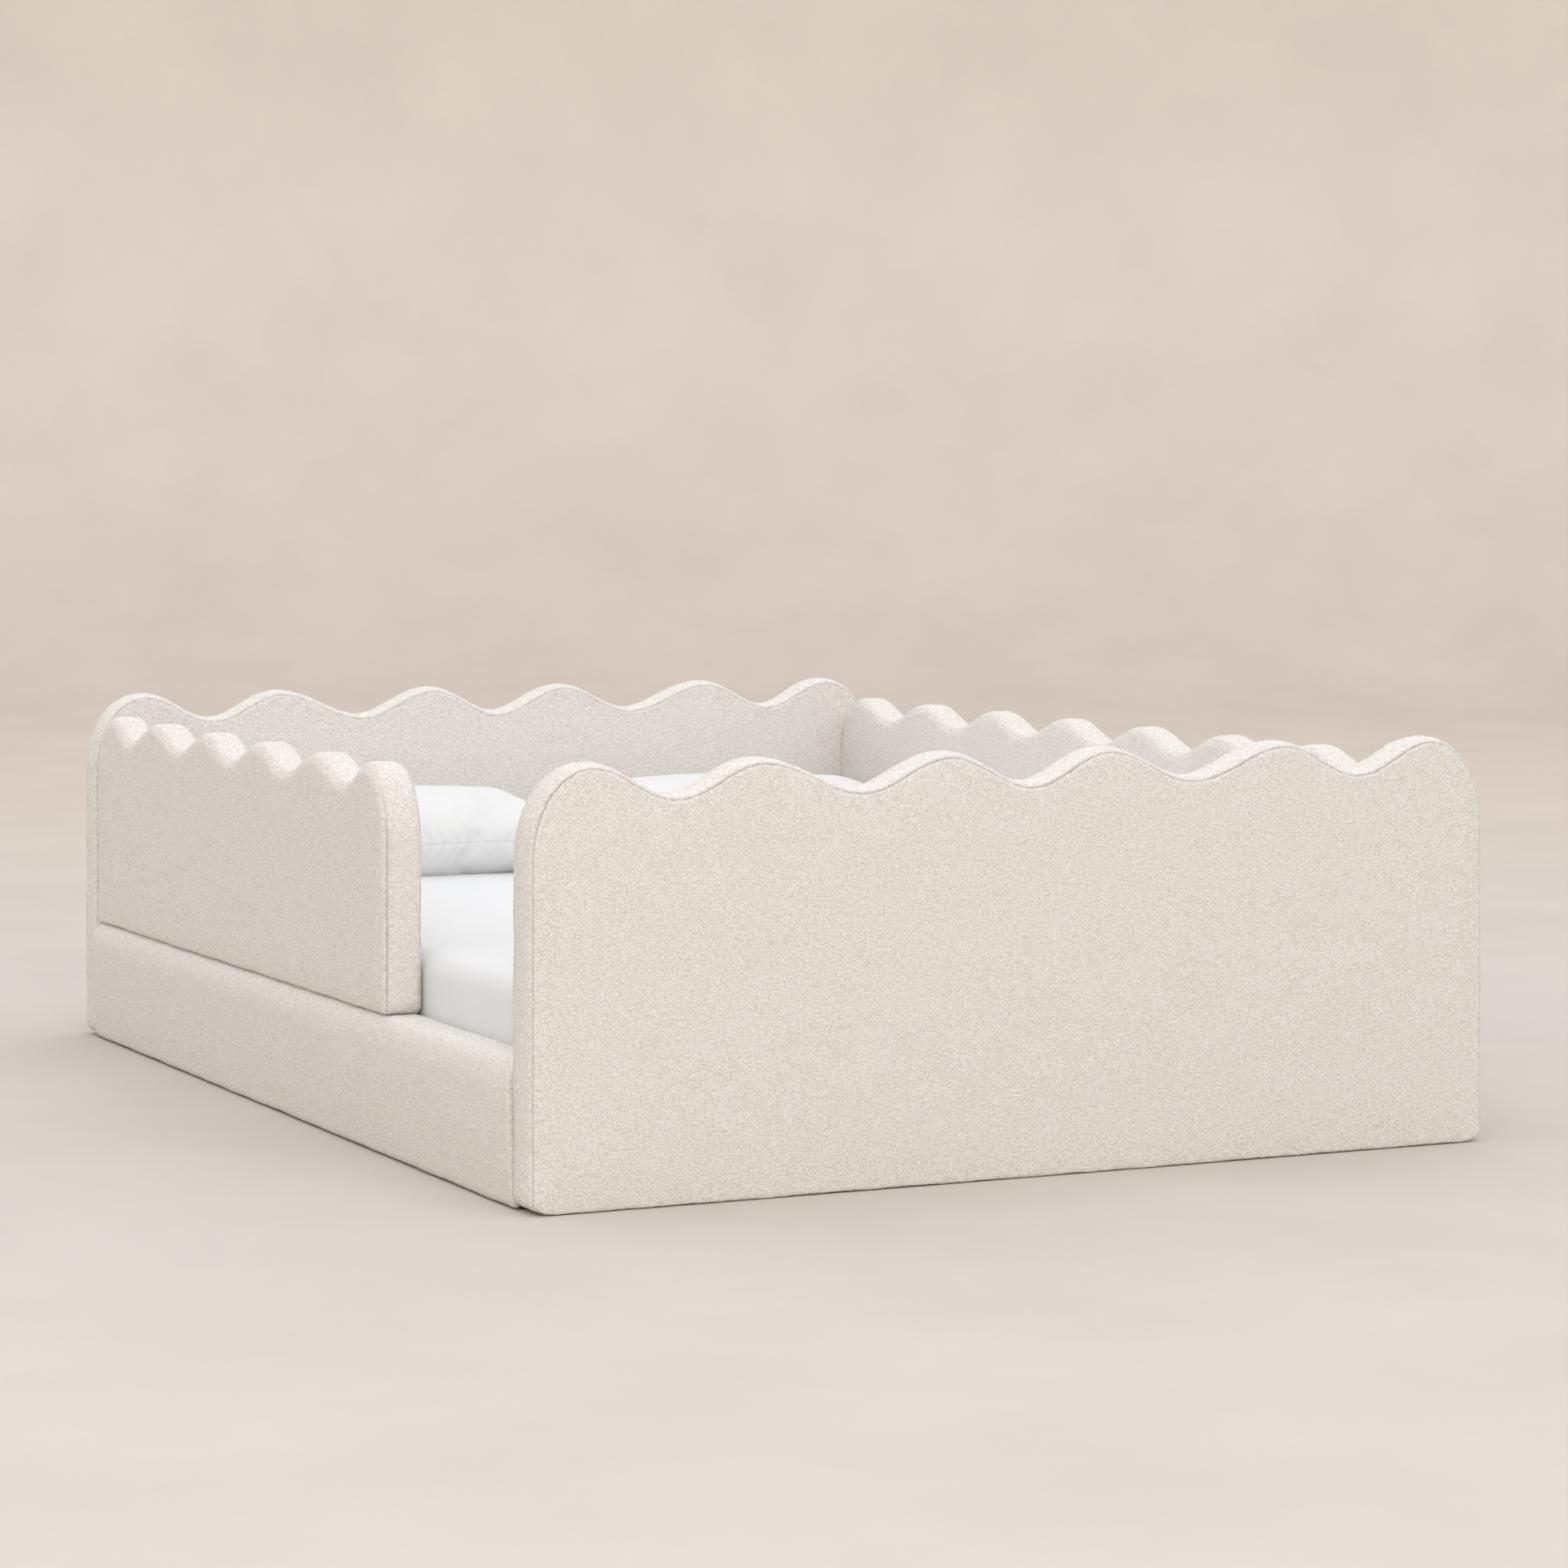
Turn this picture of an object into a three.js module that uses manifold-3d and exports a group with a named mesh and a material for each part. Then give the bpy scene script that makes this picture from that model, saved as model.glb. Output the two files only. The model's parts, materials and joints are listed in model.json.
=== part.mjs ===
// Upholstered low bed with scalloped end panels, side rails, lift-off guard rails, slats,
// mattress and two pillows. Millimetres, +Z up, origin on the floor in the middle of the bed,
// +X across the bed and +Y from the footboard to the headboard.
import * as THREE from 'three';
import { mergeVertices } from 'three/addons/utils/BufferGeometryUtils.js';
import Module from 'manifold-3d';

// ---------------------------------------------------------------- driving dimensions
const FIT_GAP = 0.3; // between pieces that touch

// End panels (footboard and headboard)
const CLEAR_LENGTH = 1935; // between the inner faces of the two panels
const PANEL_WIDTH = 1490; // between the side seams
const PANEL_THICKNESS = 60;
const PANEL_BASE = 1; // cover hem above the floor
const PANEL_APEX = 584.5; // seam height at the top of each scallop
const PANEL_DIP = 44.5; // depth of the valleys between scallops
const PANEL_CORNER_DROP = 119;
const PANEL_HALF_BUMPS = [
  { width: 208.5, apexAt: 85 },
  { width: 276.5, apexAt: 125.5 },
  { width: 260, apexAt: 134 },
];
const BAND_CROWN = 8; // how far the edge band swells between its two seams
const PANEL_BOARD_THICKNESS = 30;
const BOARD_EDGE_FOAM = 15;
const BOARD_BASE = 3.3;

// Side rails
const RAIL_HEIGHT = 200;
const RAIL_OUTER_X = 757; // fullest point of the outer face
const RAIL_HEM_X = 749; // outer face at the hem
const RAIL_INNER_X = 687.5;
const RAIL_BOARD_X = 705; // inner face of the board
const RAIL_BOARD_THICKNESS = 30;
const RAIL_BOARD_TOP = 186;
const RAIL_HEM = 2;
const RAIL_INNER_HEM = 100; // the cover's inner skirt ends here, above the slats
const RAIL_SHOULDER = { width: 25, drop: 45 };
const RAIL_INNER_RADIUS = 10;
const CLEAT = { width: 25, height: 30 };

// Guard rails
const GUARD_THICKNESS = 55;
const GUARD_MID_X = 716.5;
const GUARD_APEX = 550;
const GUARD_DIP = 33;
const GUARD_CORNER_DROP = 105;
const GUARD_END_APEX = 80; // first apex, from the end seam
const GUARD_FAR_SEAM = 964.7; // end seam beside a panel
const LEFT_GUARD_NEAR_SEAM = -468.7; // end seam beside the way in
const LEFT_GUARD_BUMP = 268;
const LEFT_GUARD_BUMPS = 6;
const RIGHT_GUARD_BUMP = 256.5;
const RIGHT_GUARD_BUMPS = 8;
const GUARD_BOARD_THICKNESS = 27;
const GUARD_EDGE_FOAM = 14;
const GUARD_BUTT_CROWN = 0.25; // share of the crown left where an end meets a panel
const POST = { width: 30, thickness: 6, below: 70, above: 70 };
const SOCKET_CLEARANCE = 1;
const LEFT_POSTS_Y = [-380, 248, 876];
const RIGHT_POSTS_Y = [-870, -290, 290, 870];

// Slat base
const SLAT = { thickness: 15, width: 90, length: 1396, count: 13, pitch: 148 };
const SLAT_TOP = 88;
const BEAM = { width: 40, height: 44 };
const BEAM_FEET_Y = [-330, 330];
const BEAM_FOOT_RADIUS = 22;
const HANGER = { wall: 3, length: 48, height: 46 };

// Hardware
const BRACKET = { leg: 62, wall: 4, height: 34, base: 5 };
const BOLT = { shank: 4, head: 8, headHeight: 4.5, railReach: 29, panelReach: 44, slack: 3 };
const BOLT_FROM_CORNER = 36;
const GLIDE_RADIUS = 11;
const GLIDE_X = 620;

// Soft goods
const MATTRESS = { width: 1371, length: 1905, base: 88.3, top: 290, edge: 28, corner: 55 };
const PILLOW = { length: 660, depth: 430, height: 138, lift: 0.3, wallGap: 14, middleGap: 16 };

// ---------------------------------------------------------------- finishes
const finish = (color, roughness, metalness = 0) => ({ color, roughness, metalness });
const BOUCLE = finish(0xe6dfd4, 0.96);
const PLYWOOD = finish(0xc7a777, 0.7);
const PINE = finish(0xd9bd8b, 0.65);
const ZINC = finish(0xa9acae, 0.38, 0.9);
const BLACK_STEEL = finish(0x2d2d2f, 0.5, 0.7);
const FELT = finish(0x8b8378, 0.98);
const WHITE_COTTON = finish(0xf3f2f0, 0.9);

// ---------------------------------------------------------------- solid helpers
const wasm = await Module();
wasm.setup();

/** Turns a closed geometry into a solid that can be joined and cut. */
function toSolid(geometry) {
  const bare = geometry.clone();
  bare.deleteAttribute('normal');
  bare.deleteAttribute('uv');
  const merged = mergeVertices(bare, 1e-4);
  return new wasm.Manifold(new wasm.Mesh({
    numProp: 3,
    vertProperties: merged.attributes.position.array,
    triVerts: new Uint32Array(merged.index.array),
  }));
}

/** Turns a solid back into a geometry. */
function toGeometry(solid) {
  const { vertProperties, triVerts } = solid.getMesh();
  const geometry = new THREE.BufferGeometry();
  geometry.setAttribute('position', new THREE.BufferAttribute(vertProperties, 3));
  geometry.setIndex(new THREE.BufferAttribute(triVerts, 1));
  return geometry;
}

/** The geometry with every tool geometry cut out of it. */
function cut(geometry, tools) {
  const result = tools.reduce((solid, tool) => solid.subtract(toSolid(tool)), toSolid(geometry));
  return toGeometry(result);
}

/** A box given by its two opposite corners. */
function boxBetween([x0, y0, z0], [x1, y1, z1]) {
  const box = new THREE.BoxGeometry(x1 - x0, y1 - y0, z1 - z0);
  return box.translate((x0 + x1) / 2, (y0 + y1) / 2, (z0 + z1) / 2);
}

const UP = new THREE.Vector3(0, 0, 1);

/** A closed cylinder whose axis runs from one point in a direction. */
function rod(radius, length, from, direction, segments = 16) {
  const cylinder = new THREE.CylinderGeometry(radius, radius, length, segments);
  cylinder.translate(0, length / 2, 0);
  const turn = new THREE.Quaternion().setFromUnitVectors(new THREE.Vector3(0, 1, 0), direction);
  return cylinder.applyQuaternion(turn).translate(...from);
}

/** A named mesh in its finish. */
function piece(name, geometry, look) {
  const mesh = new THREE.Mesh(geometry, new THREE.MeshStandardMaterial(look));
  mesh.name = name;
  return mesh;
}

// ---------------------------------------------------------------- scalloped outlines
/**
 * Outline of a scalloped board seen face on, from its low end's foot, over the top and down to
 * its high end's foot. Every point carries the outward normal.
 */
function scallopOutline({ length, base, apex, dip, bumps, cornerDrop }) {
  const arcSteps = 7;
  const waveSteps = 5;
  const half = length / 2;
  const cornerWidth = bumps[0].apexAt;
  const arc = [];
  for (let i = 0; i < arcSteps; i += 1) {
    const angle = (Math.PI / 2) * (i / arcSteps);
    arc.push([cornerWidth * (1 - Math.cos(angle)), apex - cornerDrop * (1 - Math.sin(angle))]);
  }
  const stations = [];
  let x = -half;
  for (const { width, apexAt } of bumps) {
    stations.push([x + apexAt, apex], [x + width, apex - dip]);
    x += width;
  }
  stations.pop();
  const wave = [stations[0]];
  for (let i = 1; i < stations.length; i += 1) {
    const [x0, z0] = stations[i - 1];
    const [x1, z1] = stations[i];
    for (let k = 1; k <= waveSteps; k += 1) {
      const t = k / waveSteps;
      wave.push([x0 + (x1 - x0) * t, z0 + ((z1 - z0) * (1 - Math.cos(Math.PI * t))) / 2]);
    }
  }
  const rising = arc.map(([offset, z]) => [offset - half, z]);
  const falling = arc.map(([offset, z]) => [half - offset, z]).reverse();
  const path = [[-half, base], ...rising, ...wave, ...falling, [half, base]];
  return withNormals(path.map(([u, z]) => new THREE.Vector2(u, z)));
}

/** Adds to each outline point its outward normal; the two feet look straight sideways. */
function withNormals(points) {
  const last = points.length - 1;
  return points.map((point, i) => {
    const tangent = points[Math.min(i + 1, last)].clone().sub(points[Math.max(i - 1, 0)]);
    const normal = new THREE.Vector2(-tangent.y, tangent.x).normalize();
    if (i <= 1) normal.set(-1, 0);
    if (i >= last - 1) normal.set(1, 0);
    return { point, normal };
  });
}

/** The outline moved inwards, with its feet at a new height. */
function insetOutline(outline, inset, base) {
  const last = outline.length - 1;
  return outline.map(({ point, normal }, i) => {
    const moved = point.clone().addScaledVector(normal, -inset);
    if (i === 0 || i === last) moved.y = base;
    return { point: moved, normal };
  });
}

/**
 * A board or padded cover with a scalloped outline in x and z and its thickness along y. The edge
 * band between the faces swells by the crown, and by a share of it at each end.
 */
function scallopedBoard(outline, thickness, crown = 0, endShares = [1, 1]) {
  const shares = crown > 0 ? [0, 0.2, 0.5, 0.8, 1] : [0, 1];
  const count = outline.length;
  const positions = [];
  for (const share of shares) {
    const bulge = crown * (1 - (2 * share - 1) ** 2);
    for (const { point, normal } of outline) {
      const endShare = normal.x < 0 ? endShares[0] : endShares[1];
      const sideways = normal.x ** 2;
      const swell = bulge * (1 - sideways + sideways * endShare);
      const moved = point.clone().addScaledVector(normal, swell);
      positions.push(moved.x, thickness * (share - 0.5), moved.y);
    }
  }
  const indices = [];
  for (let ring = 0; ring < shares.length - 1; ring += 1) {
    for (let i = 0; i < count; i += 1) {
      const a = ring * count + i;
      const b = ring * count + ((i + 1) % count);
      indices.push(a, b, a + count, b, b + count, a + count);
    }
  }
  const contour = outline.map(({ point }) => point);
  const back = (shares.length - 1) * count;
  for (const [a, b, c] of THREE.ShapeUtils.triangulateShape(contour.slice().reverse(), [])) {
    const [i, j, k] = [a, b, c].map((index) => count - 1 - index);
    indices.push(i, j, k, back + i, back + k, back + j);
  }
  const geometry = new THREE.BufferGeometry();
  geometry.setAttribute('position', new THREE.Float32BufferAttribute(positions, 3));
  geometry.setIndex(indices);
  return geometry;
}

/** Bump list of a guard: equal inner bumps between two narrower outer ones. */
function guardBumps(length, count, inner) {
  const outer = (length - (count - 2) * inner) / 2;
  const bumps = [{ width: outer, apexAt: GUARD_END_APEX }];
  for (let i = 0; i < count - 2; i += 1) bumps.push({ width: inner, apexAt: inner / 2 });
  bumps.push({ width: outer, apexAt: outer - GUARD_END_APEX });
  return bumps;
}

// ---------------------------------------------------------------- end panels
const PANEL_BUMPS = [
  ...PANEL_HALF_BUMPS,
  ...PANEL_HALF_BUMPS.toReversed().map(({ width, apexAt }) => ({ width, apexAt: width - apexAt })),
];
const BOLT_X = RAIL_BOARD_X - BOLT_FROM_CORNER;
const BOLT_Z = BRACKET.base + BRACKET.height / 2;
const HALF_CLEAR = CLEAR_LENGTH / 2;
const PANEL_MID_Y = HALF_CLEAR + PANEL_THICKNESS / 2;

/** One end panel, its inner face towards +Y: board, padded cover and two felt glides. */
function endPanel(name) {
  const outline = scallopOutline({
    length: PANEL_WIDTH,
    base: PANEL_BASE,
    apex: PANEL_APEX,
    dip: PANEL_DIP,
    bumps: PANEL_BUMPS,
    cornerDrop: PANEL_CORNER_DROP,
  });
  const boltHoles = [-1, 1].map((side) => {
    const mouth = [side * BOLT_X, PANEL_THICKNESS / 2 + 1, BOLT_Z];
    return rod(BOLT.shank + FIT_GAP, BOLT.panelReach, mouth, new THREE.Vector3(0, -1, 0));
  });
  const cavityOutline = insetOutline(outline, BOARD_EDGE_FOAM, PANEL_BASE - 10);
  const cavity = scallopedBoard(cavityOutline, PANEL_BOARD_THICKNESS);
  const cover = cut(scallopedBoard(outline, PANEL_THICKNESS, BAND_CROWN), [cavity, ...boltHoles]);
  const boardOutline = insetOutline(outline, BOARD_EDGE_FOAM + FIT_GAP, BOARD_BASE);
  const board = cut(
    scallopedBoard(boardOutline, PANEL_BOARD_THICKNESS - 2 * FIT_GAP),
    boltHoles,
  );
  const panel = new THREE.Group();
  panel.add(piece(`${name}_board`, board, PLYWOOD), piece(`${name}_cover`, cover, BOUCLE));
  for (const [end, side] of [['a', -1], ['b', 1]]) {
    const height = BOARD_BASE - FIT_GAP;
    const glide = piece(`${name}_glide_${end}`, rod(GLIDE_RADIUS, height, [0, 0, 0], UP), FELT);
    glide.position.x = side * GLIDE_X;
    panel.add(glide);
  }
  return panel;
}

// ---------------------------------------------------------------- side rails
/** Cross-section of a rail cover, outside at -x: an upside-down U round the board. */
function railCoverSection() {
  const shape = new THREE.Shape();
  const outerShoulder = -RAIL_OUTER_X + RAIL_SHOULDER.width;
  const shoulderZ = RAIL_HEIGHT - RAIL_SHOULDER.drop;
  const innerTop = RAIL_HEIGHT - RAIL_INNER_RADIUS;
  const boardOut = -RAIL_BOARD_X - RAIL_BOARD_THICKNESS - FIT_GAP;
  const boardIn = -RAIL_BOARD_X + FIT_GAP;
  shape.moveTo(-RAIL_HEM_X, RAIL_HEM);
  shape.lineTo(boardOut, RAIL_HEM);
  shape.lineTo(boardOut, RAIL_BOARD_TOP + FIT_GAP);
  shape.lineTo(boardIn, RAIL_BOARD_TOP + FIT_GAP);
  shape.lineTo(boardIn, RAIL_INNER_HEM);
  shape.lineTo(-RAIL_INNER_X, RAIL_INNER_HEM);
  shape.lineTo(-RAIL_INNER_X, innerTop);
  shape.absarc(-RAIL_INNER_X - RAIL_INNER_RADIUS, innerTop, RAIL_INNER_RADIUS, 0, Math.PI / 2);
  shape.lineTo(outerShoulder, RAIL_HEIGHT);
  shape.absellipse(
    outerShoulder, shoulderZ, RAIL_SHOULDER.width, RAIL_SHOULDER.drop, Math.PI / 2, Math.PI,
  );
  shape.quadraticCurveTo(-RAIL_OUTER_X, shoulderZ / 2, -RAIL_HEM_X, RAIL_HEM);
  return shape;
}

/** A section drawn in x and z, swept along y and centred on it. */
function alongBed(shape, length) {
  const options = { depth: length, bevelEnabled: false, curveSegments: 8 };
  const geometry = new THREE.ExtrudeGeometry(shape, options);
  return geometry.rotateX(Math.PI / 2).translate(0, length / 2, 0);
}

/** One side rail, its outer face at -x: board, padded cover and slat cleat, with post sockets. */
function sideRail(name, postsY) {
  const length = CLEAR_LENGTH - 2 * FIT_GAP;
  const halfLength = length / 2;
  const boardOuter = -RAIL_BOARD_X - RAIL_BOARD_THICKNESS;
  const sockets = postsY.map((y) => {
    const halfX = POST.thickness / 2 + SOCKET_CLEARANCE;
    const halfY = POST.width / 2 + SOCKET_CLEARANCE;
    return boxBetween(
      [-GUARD_MID_X - halfX, y - halfY, RAIL_HEIGHT - POST.below - 2],
      [-GUARD_MID_X + halfX, y + halfY, RAIL_HEIGHT + 5],
    );
  });
  const boltHoles = [-1, 1].map((end) => {
    const mouth = [-RAIL_BOARD_X + 1, end * (HALF_CLEAR - BOLT_FROM_CORNER), BOLT_Z];
    return rod(BOLT.shank + FIT_GAP, BOLT.railReach, mouth, new THREE.Vector3(-1, 0, 0));
  });
  const board = boxBetween(
    [boardOuter, -halfLength, BOARD_BASE],
    [-RAIL_BOARD_X, halfLength, RAIL_BOARD_TOP],
  );
  const cleatTop = SLAT_TOP - SLAT.thickness - FIT_GAP;
  const cleat = boxBetween(
    [-RAIL_BOARD_X + FIT_GAP, -halfLength + 8, cleatTop - CLEAT.height],
    [-RAIL_BOARD_X + FIT_GAP + CLEAT.width, halfLength - 8, cleatTop],
  );
  const rail = new THREE.Group();
  rail.add(
    piece(`${name}_rail_board`, cut(board, [...sockets, ...boltHoles]), PLYWOOD),
    piece(`${name}_rail_cover`, cut(alongBed(railCoverSection(), length), sockets), BOUCLE),
    piece(`${name}_slat_cleat`, cleat, PINE),
  );
  return rail;
}

// ---------------------------------------------------------------- corner hardware
/** Angle bracket in the corner at -x, -y: one leg on the rail board, one on the panel. */
function cornerBracket() {
  const { leg, wall, height, base } = BRACKET;
  const shape = new THREE.Shape();
  shape.moveTo(0, 0);
  shape.lineTo(leg, 0);
  shape.lineTo(leg, wall);
  shape.lineTo(wall, wall);
  shape.lineTo(wall, leg);
  shape.lineTo(0, leg);
  const plate = new THREE.ExtrudeGeometry(shape, { depth: height, bevelEnabled: false });
  plate.translate(0, 0, base);
  const inset = BOLT_FROM_CORNER - FIT_GAP;
  const radius = BOLT.shank + FIT_GAP;
  const railHole = rod(radius, 3 * wall, [-wall, inset, BOLT_Z], new THREE.Vector3(1, 0, 0));
  const panelHole = rod(radius, 3 * wall, [inset, -wall, BOLT_Z], new THREE.Vector3(0, 1, 0));
  return cut(plate, [railHole, panelHole]);
}

/** Round-headed bolt along -y, with the underside of its head at the origin. */
function bolt(reach) {
  const profile = [
    [0, -reach],
    [BOLT.shank, -reach],
    [BOLT.shank, 0],
    [BOLT.head, 0],
    [BOLT.head, BOLT.headHeight * 0.5],
    [BOLT.head * 0.6, BOLT.headHeight],
    [0, BOLT.headHeight],
  ];
  return new THREE.LatheGeometry(profile.map(([r, y]) => new THREE.Vector2(r, y)), 16);
}

/** The bracket and its two bolts for one corner, turned into place by its group. */
function cornerHardware(name, sideX, endY) {
  const reach = { rail: BOLT.railReach - BOLT.slack, panel: BOLT.panelReach - BOLT.slack };
  const seat = BRACKET.wall + FIT_GAP;
  const inset = BOLT_FROM_CORNER - FIT_GAP;
  const corner = new THREE.Group();
  corner.position.set(sideX * (RAIL_BOARD_X - FIT_GAP), endY * (HALF_CLEAR - FIT_GAP), 0);
  corner.rotation.z = Math.atan2(-endY, -sideX) - Math.PI / 4;
  // At two of the corners the quarter turn swaps which leg lies on the rail.
  const [alongX, alongY] = sideX === endY ? ['rail', 'panel'] : ['panel', 'rail'];
  const first = piece(`${name}_bolt_${alongX}`, bolt(reach[alongX]), ZINC);
  first.rotation.z = -Math.PI / 2;
  first.position.set(seat, inset, BOLT_Z);
  const second = piece(`${name}_bolt_${alongY}`, bolt(reach[alongY]), ZINC);
  second.position.set(inset, seat, BOLT_Z);
  corner.add(piece(`${name}_bracket`, cornerBracket(), BLACK_STEEL), first, second);
  return corner;
}

// ---------------------------------------------------------------- guard rails
/** One guard standing on a rail: board, padded cover and the flat posts that hold it. */
function guardRail(name, { sideX, nearSeam, farSeam, bumpCount, bump, postsY, endShares }) {
  const length = farSeam - nearSeam;
  const midY = (farSeam + nearSeam) / 2;
  const base = RAIL_HEIGHT + FIT_GAP;
  const outline = scallopOutline({
    length,
    base,
    apex: GUARD_APEX,
    dip: GUARD_DIP,
    bumps: guardBumps(length, bumpCount, bump),
    cornerDrop: GUARD_CORNER_DROP,
  });
  const cavity = scallopedBoard(
    insetOutline(outline, GUARD_EDGE_FOAM, base - 10),
    GUARD_BOARD_THICKNESS,
  );
  const cover = cut(scallopedBoard(outline, GUARD_THICKNESS, BAND_CROWN, endShares), [cavity]);
  const mortises = postsY.map((y) => boxBetween(
    [y - midY - POST.width / 2 - FIT_GAP, -POST.thickness / 2 - FIT_GAP, base - 5],
    [y - midY + POST.width / 2 + FIT_GAP, POST.thickness / 2 + FIT_GAP, base + POST.above + 1],
  ));
  const boardOutline = insetOutline(outline, GUARD_EDGE_FOAM + FIT_GAP, base);
  const board = scallopedBoard(boardOutline, GUARD_BOARD_THICKNESS - 2 * FIT_GAP);
  const guard = new THREE.Group();
  guard.rotation.z = Math.PI / 2;
  guard.position.set(sideX * GUARD_MID_X, midY, 0);
  guard.add(
    piece(`${name}_guard_board`, cut(board, mortises), PLYWOOD),
    piece(`${name}_guard_cover`, cover, BOUCLE),
  );
  postsY.forEach((y, i) => {
    const post = new THREE.BoxGeometry(POST.width, POST.thickness, POST.below + POST.above);
    const mesh = piece(`${name}_guard_post_${i + 1}`, post, BLACK_STEEL);
    mesh.position.set(y - midY, 0, RAIL_HEIGHT + (POST.above - POST.below) / 2);
    guard.add(mesh);
  });
  return guard;
}

// ---------------------------------------------------------------- slat base
/** Centre beam, the hangers at its ends and its feet. */
function centreBeam() {
  const top = SLAT_TOP - SLAT.thickness - FIT_GAP;
  const base = top - BEAM.height;
  const group = new THREE.Group();
  const halfLength = HALF_CLEAR - HANGER.wall - 2 * FIT_GAP;
  const beam = boxBetween([-BEAM.width / 2, -halfLength, base], [BEAM.width / 2, halfLength, top]);
  group.add(piece('centre_beam', beam, PINE));
  const halfOuter = BEAM.width / 2 + FIT_GAP + HANGER.wall;
  const floorZ = base - FIT_GAP - HANGER.wall;
  const block = boxBetween(
    [-halfOuter, -HALF_CLEAR + FIT_GAP, floorZ],
    [halfOuter, -HALF_CLEAR + FIT_GAP + HANGER.length, floorZ + HANGER.height],
  );
  const slot = boxBetween(
    [-halfOuter + HANGER.wall, -HALF_CLEAR + FIT_GAP + HANGER.wall, base - FIT_GAP],
    [halfOuter - HANGER.wall, -HALF_CLEAR + 2 * HANGER.length, top + HANGER.height],
  );
  const hanger = cut(block, [slot]);
  const headHanger = piece('beam_hanger_head', hanger, ZINC);
  headHanger.rotation.z = Math.PI;
  group.add(piece('beam_hanger_foot', hanger, ZINC), headHanger);
  BEAM_FEET_Y.forEach((y, i) => {
    const foot = rod(BEAM_FOOT_RADIUS, base - FIT_GAP, [0, y, 0], UP, 24);
    group.add(piece(`beam_foot_${i + 1}`, foot, BLACK_STEEL));
  });
  return group;
}

/** The row of slats, from the footboard to the headboard. */
function slats() {
  const group = new THREE.Group();
  for (let i = 0; i < SLAT.count; i += 1) {
    const board = new THREE.BoxGeometry(SLAT.length, SLAT.width, SLAT.thickness);
    const number = String(i + 1).padStart(2, '0');
    const slat = piece(`slat_${number}`, board, PINE);
    slat.position.set(0, (i - (SLAT.count - 1) / 2) * SLAT.pitch, SLAT_TOP - SLAT.thickness / 2);
    group.add(slat);
  }
  return group;
}

// ---------------------------------------------------------------- soft goods
/** The mattress: a flat slab with rounded corners and soft edges. */
function mattress() {
  const { width, length, base, top, edge, corner } = MATTRESS;
  const halfX = width / 2 - edge;
  const halfY = length / 2 - edge;
  const radius = corner - edge;
  const shape = new THREE.Shape();
  shape.moveTo(-halfX + radius, -halfY);
  shape.absarc(halfX - radius, -halfY + radius, radius, -Math.PI / 2, 0);
  shape.absarc(halfX - radius, halfY - radius, radius, 0, Math.PI / 2);
  shape.absarc(-halfX + radius, halfY - radius, radius, Math.PI / 2, Math.PI);
  shape.absarc(-halfX + radius, -halfY + radius, radius, Math.PI, 1.5 * Math.PI);
  const slab = new THREE.ExtrudeGeometry(shape, {
    depth: top - base - 2 * edge,
    bevelThickness: edge,
    bevelSize: edge,
    bevelSegments: 4,
    curveSegments: 4,
  });
  return piece('mattress', slab.translate(0, 0, base + edge), WHITE_COTTON);
}

/** A plump pillow lying flat: a squared-off cushion that thins out to its edge seam. */
function pillow(name, sideX) {
  const ball = new THREE.SphereGeometry(1, 32, 14).rotateX(Math.PI / 2);
  const position = ball.attributes.position;
  const squareness = 0.5;
  for (let i = 0; i < position.count; i += 1) {
    const [x, y, z] = [position.getX(i), position.getY(i), position.getZ(i)];
    const radius = Math.hypot(x, y);
    const [cos, sin] = radius > 1e-6 ? [x / radius, y / radius] : [1, 0];
    const spread = Math.abs(radius) ** 0.8;
    const u = Math.sign(cos) * Math.abs(cos) ** squareness * spread;
    const v = Math.sign(sin) * Math.abs(sin) ** squareness * spread;
    const fullness = Math.sign(z) * Math.abs(z) ** 0.9;
    position.setXYZ(i, u, v, fullness);
  }
  ball.scale(PILLOW.length / 2, PILLOW.depth / 2, PILLOW.height / 2);
  const mesh = piece(name, ball, WHITE_COTTON);
  mesh.position.set(
    (sideX * (PILLOW.length + PILLOW.middleGap)) / 2,
    HALF_CLEAR - PILLOW.wallGap - PILLOW.depth / 2,
    MATTRESS.top + PILLOW.lift + PILLOW.height / 2,
  );
  return mesh;
}

// ---------------------------------------------------------------- assembly
const bed = new THREE.Group();

const footboard = endPanel('footboard');
footboard.position.y = -PANEL_MID_Y;
const headboard = endPanel('headboard');
headboard.position.y = PANEL_MID_Y;
headboard.rotation.z = Math.PI;

const leftRail = sideRail('left', LEFT_POSTS_Y);
const rightRail = sideRail('right', RIGHT_POSTS_Y);
rightRail.rotation.z = Math.PI;

const leftGuard = guardRail('left', {
  sideX: -1,
  nearSeam: LEFT_GUARD_NEAR_SEAM,
  farSeam: GUARD_FAR_SEAM,
  bumpCount: LEFT_GUARD_BUMPS,
  bump: LEFT_GUARD_BUMP,
  postsY: LEFT_POSTS_Y,
  endShares: [1, GUARD_BUTT_CROWN],
});
const rightGuard = guardRail('right', {
  sideX: 1,
  nearSeam: -GUARD_FAR_SEAM,
  farSeam: GUARD_FAR_SEAM,
  bumpCount: RIGHT_GUARD_BUMPS,
  bump: RIGHT_GUARD_BUMP,
  postsY: RIGHT_POSTS_Y,
  endShares: [GUARD_BUTT_CROWN, GUARD_BUTT_CROWN],
});

bed.add(footboard, headboard, leftRail, rightRail, leftGuard, rightGuard);
for (const [sideName, sideX] of [['left', -1], ['right', 1]]) {
  for (const [endName, endY] of [['foot', -1], ['head', 1]]) {
    bed.add(cornerHardware(`${endName}_${sideName}`, sideX, endY));
  }
}
bed.add(centreBeam(), slats(), mattress(), pillow('pillow_left', -1), pillow('pillow_right', 1));

export default bed;
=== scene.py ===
"""Looks of an upholstered low bed with scalloped panels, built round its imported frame."""

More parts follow.
